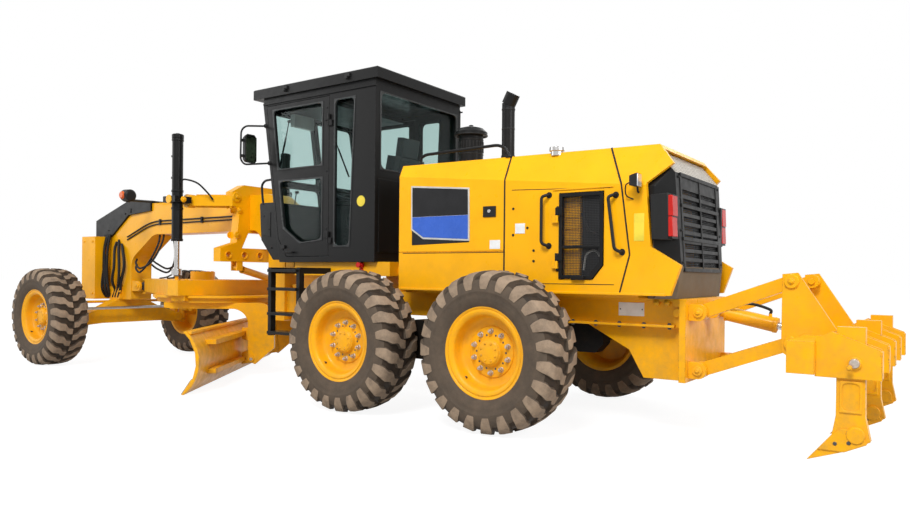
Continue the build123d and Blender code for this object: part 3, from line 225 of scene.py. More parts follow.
def tinted_glass(name, colour, see_through=0.97):
    """Flat safety glass: mostly clear, slightly green, with faint dust."""
    t = Finish(name)
    t.look({
        "Base Color": (0.006, 0.012, 0.01),
        "Roughness": t.ramp(t.noise(7.0, 6.0), 0.4, 0.8, 0.02, 0.12),
        "Specular IOR Level": 0.9,
    })
    clear = t.add("ShaderNodeBsdfTransparent", {0: colour})
    facing = t.add("ShaderNodeLayerWeight", {"Blend": 0.35}).outputs["Facing"]
    t.blend(t.ramp(facing, 0, 1, 1 - see_through, 0.35), clear, t.shader)
    return t.material


def mesh_sheet(name, colour, share, pitch):
    """Perforated sheet or wire mesh: rows of holes that can be seen through."""
    t = Finish(name)
    t.look({"Base Color": colour, "Roughness": t.ramp(t.noise(8.0, 5.0), 0.3, 0.8, 0.4, 0.75)})
    x, y, z = t.add("ShaderNodeSeparateXYZ", {0: t.place()}).outputs

    def wave(way):
        return t.math("ABSOLUTE", t.math("SINE", t.math("MULTIPLY", way, math.pi / pitch)))

    open_part = t.math("GREATER_THAN", t.math("MULTIPLY", wave(t.math("ADD", x, y)), wave(z)), 1 - share)
    t.blend(open_part, t.shader, t.add("ShaderNodeBsdfTransparent"))
    return t.material


MATERIALS = {
    "yellow": paint("yellow_enamel", (0.94, 0.435, 0.002), (0.16, 0.1, 0.05), dust=0.5),
    "rim": paint("rim_enamel", (0.93, 0.42, 0.002), (0.2, 0.13, 0.07), roughness=0.38, dust=0.25),
    "black": paint("black_enamel", (0.007,) * 3, (0.05,) * 3, roughness=0.38, dust=0.1, gloss=0.14),
    "rubber": rubber("tyre_rubber"),
    "sidewall": rubber("tyre_sidewall", (0.055, 0.042, 0.031), (0.12, 0.088, 0.062), 0.25),
    # near-black rubber on the carcass floor between the lugs: painted shade in the grooves
    "tread_floor": rubber("tyre_groove_shade", (0.016, 0.012, 0.009), (0.07, 0.048, 0.032), 0.15),
    "hose": plastic("hose_rubber", (0.014,) * 3, 0.6, 0.2),
    # seal rubber a little lighter than the black paint: painted highlight along the rubber bead
    "seal": plastic("window_seal", (0.034, 0.036, 0.036), 0.3, 0.05),
    # near-black; on the hood it draws the seam lines as painted shade in the gaps
    "groove": plastic("dark_groove", (0.01, 0.01, 0.011), 0.6, 0.05),
    "greymesh": mesh_sheet("grey_mesh", (0.5, 0.46, 0.4), 0.3, 0.016),
    "net": mesh_sheet("black_mesh", (0.012, 0.012, 0.013), 0.82, 0.013),
    "dusty": paint("dusty_metal", (0.16, 0.125, 0.085), (0.08, 0.06, 0.045), roughness=0.75, dust=0.8),
    "chrome": metal("chrome_rod", (0.52, 0.51, 0.5), 0.14, 0.25),
    "steel": metal("worn_steel", (0.4, 0.38, 0.36), 0.38, 0.5),
    "dark": metal("dark_steel", (0.06,) * 3, 0.5, 0.4, metallic=0.4),
    "glass": tinted_glass("safety_glass", (0.865, 0.945, 0.935)),
    "plastic": plastic("black_plastic", (0.01,) * 3),
    "cloth": cloth("seat_cloth", (0.022, 0.022, 0.025)),
    "lamp": plastic("amber_lens", (0.75, 0.13, 0.02), 0.15, 0.0),
    "red": plastic("red_lens", (0.55, 0.015, 0.01), 0.15, 0.0),
    "panel": paint("blue_panel", (0.04, 0.12, 0.52), (0.1,) * 3, roughness=0.25, dust=0.05),
    "white": plastic("white_plate", (0.86, 0.86, 0.84), 0.4, 0.05),
    "pale": plastic("pale_edge", (0.55, 0.54, 0.5), 0.35, 0.05),
    "straw": plastic("straw_plate", (0.8, 0.62, 0.06), 0.4, 0.05),
    "lens": metal("lamp_lens", (0.62, 0.64, 0.66), 0.12, 0.1, metallic=0.6),
    "mirror": metal("mirror_face", (0.055, 0.06, 0.038), 0.06, 0.4),
    "nut": metal("wheel_nut", (0.5, 0.44, 0.38), 0.34, 0.55, metallic=0.85),
}
SLOT_LOOK = {
    "yellow_paint": "yellow", "black_paint": "black", "tyre": "rubber", "rim_yellow": "rim",
    "glass": "glass", "bare_steel": "chrome", "worn_steel": "steel", "dark_steel": "dark",
    "seat_fabric": "cloth", "engine_metal": "dark",
}
# the ripper's barrel is yellow, though its slot in the record is black
for row in frame["record"]["subparts"]:
    mesh = nodes[row["node"]].data
    look = "yellow" if row["node"] == "ripper_barrel" else SLOT_LOOK[row["material_slot"]]
    mesh.materials.clear()
    mesh.materials.append(MATERIALS[look])


# ---- mesh pieces ----
DATUM = 0.037  # heights below are measured from this far under the ground
LOWERED = Matrix.Translation((0, 0, -DATUM))


class Shape:
    """A mesh made from several small forms, joined into one piece.

    Places are given for the left side, and side -1 mirrors them to the right.
    """

    def __init__(self, side=1):
        self.bm = bmesh.new()
        self.side = side
        self.slot = 0

    def both(self):
        """Work on the right side and then on the left one."""
        for self.side in (-1, 1):
            yield self.side

    def at(self, point):
        """The point on the side in work."""
        x, y, z = point
        return Vector((x, self.side * y, z))

    def face(self, verts):
        self.bm.faces.new(verts).material_index = self.slot

    def skin(self, loops, closed=False):
        """Band over loops of as many points; a closed one joins the last loop to the first."""
        made = [[self.bm.verts.new(p) for p in loop] for loop in loops]
        for first, second in zip(made, made[1:] + made[:closed]):
            for i in range(len(first)):
                j = (i + 1) % len(first)
                self.face((first[i], first[j], second[j], second[i]))
        return made

    def prism(self, loops):
        """Closed form over loops of as many points."""
        made = self.skin(loops)
        self.face(made[0][::-1])
        self.face(made[-1])

    def hull(self, low_loop, high_loop):
        """Closed prism between two loops, given for the left side."""
        self.prism([[self.at(p) for p in loop] for loop in (low_loop, high_loop)])

    def box(self, x, y, z):
        """Box between pairs of limits."""
        y = sorted(self.side * v for v in y)
        corners = ((x[0], y[0]), (x[1], y[0]), (x[1], y[1]), (x[0], y[1]))
        self.prism([[(a, b, level) for a, b in corners] for level in z])

    def beam(self, start, end, width, depth, facing):
        """Straight bar of a rectangular section; depth is measured along facing."""
        start, end, facing = self.at(start), self.at(end), self.at(facing).normalized()
        across = (end - start).cross(facing).normalized() * width / 2
        thick = facing * depth / 2
        corners = (-across - thick, across - thick, across + thick, -across + thick)
        self.prism([[place + c for c in corners] for place in (start, end)])

    def side_plate(self, outline, y_from, y_to):
        """Plate with an outline in X and Z, between two places across the machine."""
        ends = sorted((self.side * y_from, self.side * y_to))
        self.prism([[(x, y, z) for x, z in outline] for y in ends])

    def rod(self, start, end, radius, end_radius=None, sides=20):
        """Round or tapered bar."""
        start, end = self.at(start), self.at(end)
        turn = (end - start).to_track_quat("Z", "Y")
        loops = []
        for centre, r in ((start, radius), (end, radius if end_radius is None else end_radius)):
            loops.append([centre + turn @ Vector((a, b, 0)) for a, b in spread(sides, r)])
        self.prism(loops)

    def peg(self, x, z, y_from, y_to, radius, end_radius=None, sides=20):
        """Rod across the machine."""
        self.rod((x, y_from, z), (x, y_to, z), radius, end_radius, sides)

    def bolt(self, place, along, size=0.012):
        """Hexagonal head on a washer."""
        place, along = Vector(place), Vector(along).normalized()
        self.rod(place - along * size * 0.3, place + along * size * 0.25, size * 1.35, sides=14)
        self.rod(place, place + along * size * 0.95, size, size * 0.92, sides=6)

    def cap(self, start, end, radius, end_radius, size, sides=28):
        """Pin cap with a bolt on its end."""
        self.rod(start, end, radius, end_radius, sides)
        self.bolt(end, Vector(end) - Vector(start), size)

    def tube(self, points, radius, sides=10):
        """Round tube along a line of points."""
        points = [self.at(p) for p in points]
        loops = []
        normal = None
        for i, point in enumerate(points):
            along = (points[min(i + 1, len(points) - 1)] - points[max(i - 1, 0)]).normalized()
            if normal is None:
                normal = along.orthogonal().normalized()
            normal = (normal - along * normal.dot(along)).normalized()
            other = along.cross(normal)
            loops.append([point + (normal * a + other * b) * radius for a, b in spread(sides, 1.0)])
        self.prism(loops)

    def lathe(self, profile, segments, origin=(0, 0, 0), axis="Y", closed=False):
        """Surface of revolution; each row of the profile is (place on the axis, radius)."""
        origin = self.at(origin)
        loops = []
        for place, radius in profile:
            loop = []
            for b, a in spread(segments, radius):
                point = {"X": (place, a, b), "Y": (a, self.side * place, b), "Z": (a, b, place)}[axis]
                loop.append(origin + Vector(point))
            loops.append(loop)
        self.skin(loops, closed)

    def ring(self, outer, inner, push):
        """Raised band between two loops of as many points."""
        outer, inner = ([self.at(p) for p in loop] for loop in (outer, inner))
        push = self.at(push)
        self.skin([outer, [p + push for p in outer], [p + push for p in inner], inner])

    def mesh(self, name, looks):
        """The finished mesh; looks are names from MATERIALS, one for each slot."""
        bmesh.ops.recalc_face_normals(self.bm, faces=self.bm.faces[:])
        mesh = bpy.data.meshes.new(name)
        self.bm.to_mesh(mesh)
        self.bm.free()
        for look in looks.split():
            mesh.materials.append(MATERIALS[look])
        return mesh

    def done(self, name, looks, body=REAR, slot="black_paint", bevel=0.0, smooth=True, placed=LOWERED):
        """Make the object on a body; * in a name stands for the shape's side."""
        name, body = (text.replace("*", SIDES[self.side]) for text in (name, body))
        bmesh.ops.remove_doubles(self.bm, verts=self.bm.verts[:], dist=1e-6)
        mesh = self.mesh(name, looks)
        mesh.transform(placed)
        carry(mesh, name, body, slot, bevel, smooth)


SHARP, ROUNDED = math.radians(38), math.radians(40)  # edges stay sharp, or get rounded, beyond these


def carry(mesh, name, body, slot, bevel=0.0, smooth=True):
    """Object of a mesh, with rounded edges, on a body."""
    obj = bpy.data.objects.new(name, mesh)
    bpy.context.scene.collection.objects.link(obj)
    if smooth:
        mesh.shade_smooth()
        mesh.set_sharp_from_angle(angle=SHARP)
    if bevel:
        rounding = obj.modifiers.new("rounding", "BEVEL")
        rounding.width = bevel
        rounding.segments = 2
        rounding.limit_method = "ANGLE"
        rounding.angle_limit = ROUNDED
        rounding.harden_normals = False
    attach(obj, body)
    return obj


def spread(count, radius, start=0.0):
    """Pairs of (cosine, sine) times a radius, evenly round a circle from a start angle."""
    for i in range(count):
        angle = 2 * math.pi * i / count + start
        yield radius * math.cos(angle), radius * math.sin(angle)


def quad(first, second, y_from, y_to):
    """Four corners: two places in X and Z, at two places across the machine."""
    (x0, z0), (x1, z1) = first, second
    return [(x0, y_from, z0), (x1, y_from, z1), (x1, y_to, z1), (x0, y_to, z0)]


def arc(start, corner, end, steps):
    """Points of a rounded corner."""
    ways = [i / steps for i in range(steps + 1)]
    return [start * (1 - t) ** 2 + corner * 2 * t * (1 - t) + end * t**2 for t in ways]


def bend(points, radius, steps=5):
    """The same line with its corners rounded."""
    points = [Vector(p) for p in points]
    line = [points[0]]
    for before, corner, after in zip(points, points[1:], points[2:]):
        first, second = before - corner, after - corner
        cut = min(radius, first.length * 0.49, second.length * 0.49)
        line += arc(corner + first.normalized() * cut, corner, corner + second.normalized() * cut, steps)
    return line + [points[-1]]


def flow(points, steps=8):
    """Smooth line through points, for a hose held at both ends."""
    points = [Vector(p) for p in points]
    ends = [points[0] * 2 - points[1]] + points + [points[-1] * 2 - points[-2]]
    line = []
    for a, b, c, d in zip(ends, ends[1:], ends[2:], ends[3:]):
        for i in range(steps):
            t = i / steps
            curve = 2 * b + (c - a) * t + (2 * a - 5 * b + 4 * c - d) * t**2 + (3 * b - a - 3 * c + d) * t**3
            line.append(0.5 * curve)
    return line + [points[-1]]


def offset_outline(points, amount):
    """Outline moved outward by an amount along its own plane's two axes."""
    area = sum(a[0] * b[1] - b[0] * a[1] for a, b in zip(points, points[1:] + points[:1]))
    turn = 1 if area > 0 else -1
    moved = []
    for i in range(len(points)):
        before, here, after = (Vector(points[(i + k) % len(points)]) for k in (-1, 0, 1))
        first, second = (here - before).normalized(), (after - here).normalized()
        normal_a, normal_b = (Vector((way.y, -way.x)) * turn for way in (first, second))
        half = (normal_a + normal_b) / (1 + normal_a.dot(normal_b))
        moved.append(tuple(here + half * amount))
    return moved


def window_band(shape, outline, place, push, cover=0.004, inset=0.01, radius=0.055, steps=6):
    """Raised seal round a window; its inner corners are rounded. place turns (u, v) into a point."""
    outer_points = offset_outline(outline, cover)
    inner_points = offset_outline(outline, -inset)
    outer, inner = [], []
    count = len(outline)
    for i in range(count):
        before, corner, after = (Vector(inner_points[(i + k) % count]) for k in (-1, 0, 1))
        start = corner + (before - corner).normalized() * radius
        end = corner + (after - corner).normalized() * radius
        for point in arc(start, corner, end, steps):
            inner.append(place(*point))
            outer.append(place(*outer_points[i]))
    shape.ring(outer, inner, push)


# ---- tyres ----
LUGS = 23
LUG_RADIUS = 0.628  # the sweep and width of a lug are measured here
GROOVE_RADIUS = 0.548  # beyond it the carcass is a floor between lugs
LUG_SINK = 0.006  # how far a lug's foot reaches into the carcass
CARCASS = [
    (0.0, 0.6), (0.08, 0.599), (0.14, 0.594), (0.176, 0.581), (0.201, 0.556), (0.213, 0.525),
    (0.219, 0.5), (0.2215, 0.47), (0.2215, 0.462), (0.2185, 0.458), (0.218, 0.43), (0.2115, 0.4),
    (0.2085, 0.394), (0.207, 0.386), (0.194, 0.362), (0.178, 0.341), (0.167, 0.333),
]
# Rows of a lug: way along the carcass from the middle, sweep round the tyre, width, height.
LUG_ROWS = [
    (0.004, -0.046, 0.07, 0.027), (0.05, -0.04, 0.074, 0.0272), (0.066, -0.03, 0.078, 0.0272),
    (0.088, 0.006, 0.082, 0.027), (0.104, 0.014, 0.09, 0.0268), (0.15, 0.02, 0.098, 0.0262),
    (0.166, 0.028, 0.102, 0.025), (0.186, 0.046, 0.106, 0.022), (0.204, 0.052, 0.106, 0.018),
    (0.232, 0.056, 0.1, 0.011), (0.262, 0.059, 0.09, 0.0055), (0.29, 0.061, 0.07, 0.0005),
]


def carcass_at(way):
    """Point and outward direction on the carcass, at a way along it from the middle."""
    left = way
    for (y0, r0), (y1, r1) in zip(CARCASS, CARCASS[1:]):
        length = math.hypot(y1 - y0, r1 - r0)
        if left <= length:
            t = left / length
            return y0 + (y1 - y0) * t, r0 + (r1 - r0) * t, -(r1 - r0) / length, (y1 - y0) / length
        left -= length
    raise ValueError("beyond the bead")


def tyre_mesh(name, side):
    """Carcass with two staggered rows of stepped lugs; side is +1 for a left wheel."""
    shape = Shape()
    shape.lathe([(-y, r) for y, r in reversed(CARCASS[1:])] + CARCASS, LUGS * 4, closed=True)
    # carcass faces beyond GROOVE_RADIUS take the near-black floor rubber, painted shade between the lugs
    for face in shape.bm.faces:
        centre = face.calc_center_median()
        if math.hypot(centre.x, centre.z) > GROOVE_RADIUS:
            face.material_index = 2
    for index in range(LUGS * 2):
        hand = 1 if index % 2 else -1
        around = math.pi * index / LUGS
        rows = []
        for way, sweep, width, height in LUG_ROWS:
            y, r, ny, nr = carcass_at(way)
            foot = width / 2 + height * 0.42  # flanks lean out towards the carcass
            row = []
            half = width / 2
            for across, up in ((-foot, -LUG_SINK), (-half, height), (half, height), (foot, -LUG_SINK)):
                angle = around + side * (sweep + across) / LUG_RADIUS
                yy, rr = y + ny * up, r + nr * up
                row.append(shape.bm.verts.new((rr * math.sin(angle), hand * yy, rr * math.cos(angle))))
            rows.append(row)
        for first, second in zip(rows, rows[1:]):
            for k in range(3):
                shape.slot = 1 if k == 1 else 0
                shape.face((first[k], first[k + 1], second[k + 1], second[k]))
        shape.face(rows[0])
        shape.face(rows[-1][::-1])
    return shape.mesh(name, "sidewall rubber tread_floor")


# ---- rims ----
RIM = [
    (0.166, 0.3315), (0.171, 0.346), (0.178, 0.3555), (0.1845, 0.3555), (0.187, 0.35), (0.184, 0.34),
    (0.178, 0.334), (0.178, 0.327), (0.183, 0.324), (0.183, 0.312), (0.176, 0.3), (0.17, 0.29),
    (0.16, 0.284), (0.13, 0.281), (0.096, 0.278), (0.074, 0.268), (0.062, 0.25), (0.06, 0.2),
    (0.068, 0.196), (0.07, 0.19), (0.07, 0.118), (0.078, 0.11), (0.098, 0.106), (0.104, 0.1),
    (0.104, 0.0615), (0.0, 0.0615), (0.036, 0.2), (0.03, 0.262),
    (-0.02, 0.281), (-0.134, 0.285), (-0.17, 0.311), (-0.186, 0.322), (-0.187, 0.35), (-0.18, 0.3555),
    (-0.171, 0.346), (-0.166, 0.3315),
]
HUB_COVER = [(0.103, 0.096), (0.112, 0.092), (0.1165, 0.084), (0.1165, 0.001)]
HUB_BOLTS, NUTS = 8, 10


def rim_mesh(name, side):
    """Deep-dished rim with a ring of wheel nuts; its outer face is on the side given."""
    shape = Shape(side)
    shape.lathe(RIM, 96, closed=True)
    shape.lathe(HUB_COVER, 48)
    for z, x in spread(HUB_BOLTS, 0.07, math.pi / HUB_BOLTS):
        shape.bolt((x, 0.1165, z), OUT, 0.0075)
    # a washer, a nut and the stud's end
    shape.slot = 1
    for z, x in spread(NUTS, 0.16):
        shape.peg(x, z, 0.068, 0.076, 0.023, 0.019)
        shape.peg(x, z, 0.074, 0.096, 0.0175, 0.0165, sides=6)
        shape.peg(x, z, 0.09, 0.11, 0.0095, 0.0085, sides=12)
    # lightening holes between the nuts and the hub, drawn as dark discs of painted shade, and the valve
    shape.slot = 2
    for z, x in spread(NUTS, 0.133, math.pi / NUTS):
        shape.peg(x, z, 0.066, 0.0706, 0.0085, sides=12)
    shape.rod((0.19, 0.12, -0.205), (0.178, 0.15, -0.193), 0.007, 0.005, sides=10)
    return shape.mesh(name, "rim nut dark")


for side, side_name in SIDES.items():
    tyre = tyre_mesh("tyre_mesh_" + side_name, side)
    rim = rim_mesh("rim_mesh_" + side_name, side)
    for row in ("front", "mid", "rear"):
        body = f"wheel_{row}_{side_name}"
        low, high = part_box(f"tyre_{row}_{side_name}")
        centre = (Vector(low) + Vector(high)) / 2
        for kind, mesh, slot, width in (("tyre", tyre, "tyre", 0.0035), ("rim", rim, "rim_yellow", 0.0015)):
            obj = carry(mesh, f"{kind}_look_{row}_{side_name}", body, slot, width)
            obj.location = centre
            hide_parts(f"{kind}_{row}_{side_name}")

# ---- hood: seams, plates, handles, lamps and rails ----
HOOD = 0.7  # half the hood's width
SPLIT = -2.3245  # joint between the hood's two parts


def upright(x, y, z, half_width, half_height):
    """Four corners of a rectangle that faces along X."""
    return [(x, y + a * half_width, z + b * half_height) for a, b in ((-1, -1), (1, -1), (1, 1), (-1, 1))]


for side in SIDES:
    seams = Shape(side)
    # near-black strips along the hood's panel joints: painted shade in the gaps
    slant = [(-3.209, 0.5545, 2.25), (-3.353, HOOD, 1.9445), (-3.424, HOOD, 1.415), (-3.344, HOOD, 1.118)]
    seams.beam(slant[0], slant[1], 0.014, 0.006, (0, 1, 0.5))
    seams.beam(slant[1], slant[2], 0.012, 0.005, OUT)
    seams.beam(slant[2], slant[3], 0.012, 0.005, OUT)
    seams.beam((SPLIT, HOOD, 2.043), (SPLIT, HOOD, 1.118), 0.014, 0.004, OUT)
    seams.beam((SPLIT, 0.5965, 2.249), (SPLIT, HOOD, 2.043), 0.014, 0.004, (0, 0.894, 0.447))
    seams.beam((SPLIT, 0.5965, 2.25), (SPLIT, 0, 2.25), 0.014, 0.004, UP)
    # lines of the big side door, as thin near-black strips of painted shade
    for x0, z0, x1, z1 in (
        (-2.395, 1.955, -3.262, 1.925), (-2.395, 1.19, -3.3, 1.19), (-1.24, 1.445, -2.318, 1.445),
    ):
        seams.beam((x0, HOOD, z0), (x1, HOOD, z1), 0.005, 0.004, OUT)
    seams.done("hood_seams_*", "groove", slot="dark_steel", smooth=False)

    # folded lower edge of the hood, and drip edge above the engine door
    lips = Shape(side)
    lips.box((-3.7, -1.2), (HOOD - 0.012, HOOD + 0.01), (1.112, 1.132))
    lips.box((-3.29, -2.78), (HOOD - 0.002, HOOD + 0.008), (1.926, 1.938))
    lips.done("hood_lips_*", "yellow", slot="yellow_paint", bevel=0.003)

    panel = Shape(side)
    for look, outline, low, high in (
        (0, [(-1.337, 2.047), (-1.964, 1.995), (-1.97, 1.534), (-1.343, 1.517)], -0.001, 0.002),
        (1, [(-1.331, 2.053), (-1.97, 2.001), (-1.976, 1.545), (-1.47, 1.57), (-1.334, 1.655)], 0, 0.0034),
        (0, [(-1.346, 2.037), (-1.955, 1.988), (-1.958, 1.77), (-1.348, 1.77)], 0, 0.0046),
        (2, [(-1.348, 1.768), (-1.958, 1.768), (-1.96, 1.561), (-1.474, 1.586), (-1.349, 1.664)], 0, 0.0046),
    ):
        panel.slot = look
        panel.side_plate(outline, HOOD + low, HOOD + high)
    panel.done("blank_panel_*", "groove pale panel", bevel=0.0008)

    plates = Shape(side)
    for look, x, z, proud in (
        (0, (-2.285, -2.181), (1.473, 1.547), 0.002),
        (0, (-2.522, -2.429), (1.595, 1.678), 0.002),
        (1, (-3.535, -3.455), (1.515, 1.72), 0.0018),
        (2, (-2.241, -2.115), (1.742, 1.832), 0.009),
    ):
        plates.slot = look
        plates.box(x, (HOOD, HOOD + proud), z)
    for x, z in ((-2.545, 1.64), (-2.41, 1.8), (-2.41, 1.585), (-2.605, 1.455), (-2.605, 1.37)):
        plates.peg(x, z, HOOD - 0.002, HOOD + 0.004, 0.011, sides=14)
    plates.slot = 3
    plates.peg(-2.178, 1.79, HOOD + 0.008, HOOD + 0.016, 0.016, 0.014, sides=18)
    plates.done("hood_plates_*", "white straw plastic chrome", bevel=0.002)

    handles = Shape(side)
    for top_x, top_z, foot_x, foot_z in ((-2.7, 1.88, -2.7, 1.51), (-3.268, 1.852, -3.322, 1.455)):
        head = (top_x - 0.042, top_z + 0.014)
        heel = (foot_x - 0.042, foot_z - 0.02)
        line = [
            (x, HOOD + proud, z)
            for (x, z), proud in (
                (head, -0.004), (head, 0.03), ((top_x, top_z), 0.052),
                ((foot_x, foot_z), 0.052), (heel, 0.03), (heel, -0.004),
            )
        ]
        handles.tube(bend(line, 0.03), 0.0125, sides=12)
        for x, z in (head, heel):
            handles.peg(x, z, HOOD - 0.002, HOOD + 0.006, 0.026, 0.024)
    handles.done("hood_handles_*", "plastic")

    lamp = Shape(side)
    lx, ly, lz = -3.49, 0.775, 1.955
    lamp.hull(upright(lx + 0.035, ly, lz, 0.03, 0.036), upright(lx - 0.03, ly, lz, 0.045, 0.052))
    foot = [(lx, ly - 0.05, lz + 0.03), (lx, ly - 0.052, lz - 0.075), (lx, HOOD - 0.004, lz - 0.08)]
    lamp.tube(bend(foot, 0.02), 0.008)
    lamp.tube(flow([
        (lx + 0.034, ly, lz - 0.01), (lx + 0.075, ly - 0.01, lz - 0.03),
        (lx + 0.085, ly - 0.045, lz - 0.1), (lx + 0.04, HOOD, lz - 0.13),
    ]), 0.005)
    lamp.slot = 1
    lamp.box((lx - 0.036, lx - 0.028), (ly - 0.04, ly + 0.04), (lz - 0.046, lz + 0.046))
    lamp.done("work_lamp_*", "plastic lens", bevel=0.006)

    tail = Shape(side)
    tail.side_plate([(-3.59, 1.525), (-3.578, 1.855), (-3.712, 1.862), (-3.716, 1.52)], 0.6, 0.7)
    tail.slot = 1
    for low, high in ((1.545, 1.69), (1.694, 1.846)):
        tail.side_plate([(-3.708, low), (-3.708, high), (-3.742, high), (-3.748, low)], 0.582, 0.694)
    tail.slot = 0
    tail.box((-3.73, -3.7), (0.568, 0.58), (1.53, 1.852))
    tail.done("tail_lamp_*", "plastic red", bevel=0.005)

    rail = Shape(side)
    ends = (-1.362, -2.3)
    tops = [(-1.346, 2.318), (-1.405, 2.345), (-2.19, 2.362), (-2.268, 2.325)]
    line = [(x, 0.59, z) for x, z in [(ends[0], 2.245)] + tops + [(ends[1], 2.245)]]
    rail.tube(bend(line, 0.06), 0.0135, sides=12)
    for x in ends:
        rail.box((x - 0.03, x + 0.03), (0.57, 0.61), (2.246, 2.256))
    rail.done("hood_rail_*", "black")

cap = Shape()
cap.lathe([
    (2.225, 0.001), (2.225, 0.05), (2.262, 0.05), (2.264, 0.062),
    (2.296, 0.06), (2.302, 0.05), (2.302, 0.001),
], 36, (-2.734, 0.56, 0), "Z")
cap.box((-2.76, -2.708), (0.552, 0.568), (2.3, 2.312))
cap.done("filler_cap", "chrome", slot="bare_steel", bevel=0.003)

# ---- rear end: mesh panels, grille frame and screws ----
# the grille's sloping top is mesh, and its skirt is dusty
GRILLE_TOP, GRILLE_SKIRT = 2.0, 1.3
grille = nodes["rear_grille"].data
grille.materials.append(MATERIALS["greymesh"])
grille.materials.append(MATERIALS["dusty"])
for polygon in grille.polygons:
    z = polygon.center.z + DATUM
    if polygon.normal.z > 0.45 and z > GRILLE_TOP:
        polygon.material_index = 1
    elif z < GRILLE_SKIRT and abs(polygon.normal.z) < 0.9:
        polygon.material_index = 2


def on_rear(z, proud=0.004):
    """X of the grille's leaning rear face at a height."""
    (x0, z0), (x1, z1) = (-3.7605, 1.312), (-3.716, 2.045)
    return x0 + (x1 - x0) * (z - z0) / (z1 - z0) - proud


bars = Shape()
for y_from, y_to in ((-0.475, -0.435), (0.435, 0.475), (-0.012, 0.012)):
    bars.hull(*(quad((on_rear(z), z), (on_rear(z) + 0.03, z), y_from, y_to) for z in (1.312, 2.03)))
for z in (1.305, 1.54, 1.79, 2.02):
    bars.box((on_rear(z, 0.01), on_rear(z) + 0.03), (-0.475, 0.475), (z - 0.014, z + 0.014))
for y in (-0.5, 0.5):
    for z in (1.36, 1.6, 1.84, 2.0):
        bars.bolt((on_rear(z, 0.002), y, z), (-1, 0, 0.06), 0.009)
bars.done("grille_bars", "black", bevel=0.003)

net = Shape()
net.hull(*(
    quad(*((on_rear(z, -0.016) + thick, z) for z in (1.315, 2.03)), -0.44, 0.44) for thick in (0, 0.002)
))
net.done("grille_net", "net", smooth=False)

# ---- rear frame, ripper: rail lips, plates, bolts and pins ----
RAIL = 0.465  # outer face of a frame rail
for side in SIDES:
    rails = Shape(side)
    rails.box((-3.7, -1.95), (RAIL - 0.02, RAIL + 0.05), (0.872, 0.892))
    rails.box((-3.7, -1.95), (RAIL - 0.02, RAIL + 0.028), (1.068, 1.09))
    for z in (0.985, 1.06):
        rails.peg(-3.715, z, RAIL - 0.01, RAIL + 0.03, 0.034, 0.032, sides=24)
    rails.slot = 1
    for i in range(9):
        for z, up in ((0.892, 1), (0.872, -1)):
            rails.bolt((-3.66 + i * 0.2, RAIL + 0.03, z), (0, 0, up), 0.014)
    rails.slot = 0
    for x in (-3.556, -3.636):
        rails.cap((x, RAIL, 1.055), (x, RAIL + 0.04, 1.055), 0.026, 0.024, 0.012, sides=20)
    rails.done("rail_lips_*", "yellow dark", slot="yellow_paint", bevel=0.003)

    plate = Shape(side)
    plate.box((-3.451, -3.242), (RAIL, RAIL + 0.003), (0.948, 1.052))
    plate.slot = 1
    for x in (-3.436, -3.257):
        plate.peg(x, 1.0, RAIL, RAIL + 0.006, 0.006, sides=10)
    plate.done("rail_plate_*", "white dark", slot="yellow_paint", bevel=0.001)

    # pin caps of the ripper's arms, on the frame and on the carriage
    caps = Shape(side)
    for z in (0.56, 0.99):
        caps.cap((-3.86, 0.449, z), (-3.86, 0.466, z), 0.04, 0.036, 0.015)
    caps.done("ripper_caps_frame_*", "yellow", slot="yellow_paint", bevel=0.003)
    caps = Shape(side)
    for z in (0.8, 1.23):
        caps.cap((-4.5, 0.434, z), (-4.5, 0.452, z), 0.052, 0.048, 0.017)
    for place in ((-4.86, 0.437, 0.78), (-4.93, 1.0, 0.72)):
        caps.bolt(place, OUT, 0.014)
    caps.done("ripper_caps_carriage_*", "yellow", CARRIAGE, "yellow_paint", bevel=0.003)

# shanks: their pins, tooth sockets, heel bosses and the raised rim of the forged recess
SHANKS = (-0.9, 0.0, 0.9)
shank_pins = Shape()
for y in SHANKS:
    for hand in (-1, 1):
        shank_pins.slot = 0
        shank_pins.peg(-4.955, 0.745, y + hand * 0.05, y + hand * 0.066, 0.04, 0.038, sides=26)
        shank_pins.slot = 1
        shank_pins.peg(-4.955, 0.745, y + hand * 0.064, y + hand * 0.078, 0.031, 0.026, sides=24)
shank_pins.done("shank_pins", "yellow nut", CARRIAGE, "yellow_paint", bevel=0.002)

teeth = Shape()
socket = [(-5.022, 0.262), (-4.985, 0.345), (-4.88, 0.342), (-4.832, 0.297), (-4.752, 0.203), (-4.9, 0.203)]
recess = [(-4.985, 0.45), (-4.88, 0.45), (-4.884, 0.625), (-4.985, 0.625)]
for y in SHANKS:
    teeth.slot = 0
    teeth.side_plate(socket, y - 0.043, y + 0.043)
    teeth.peg(-4.962, 0.312, y - 0.052, y + 0.052, 0.05, sides=32)
    for hand in (-1, 1):
        face_y, proud = y + hand * 0.031, (0, hand * 0.01, 0)
        window_band(teeth, recess, lambda u, v: (u, face_y, v), proud, cover=0.01, inset=0.004, radius=0.035)
    teeth.slot = 1
    for x, z in ((-4.925, 0.262), (-4.85, 0.25)):
        teeth.peg(x, z, y - 0.047, y + 0.047, 0.012, sides=14)
teeth.done("shank_sockets", "yellow dark", CARRIAGE, "yellow_paint", bevel=0.004)

# ---- cab: window seals, mirrors, handles, wipers and clips ----
CAB_TOP, CAB = 3.055, 0.69  # height of the roof's lower edge, half the cab's width
DOOR_WINDOWS = [
    [(0.56, 2.965), (-0.185, 2.965), (-0.185, 2.33), (0.475, 2.33)],
    [(0.455, 2.215), (-0.185, 2.215), (-0.185, 1.59), (0.13, 1.56), (0.385, 1.72)],
]
SIDE_WINDOW = [(-0.62, 2.965), (-0.345, 2.965), (-0.345, 1.52), (-0.56, 1.52)]


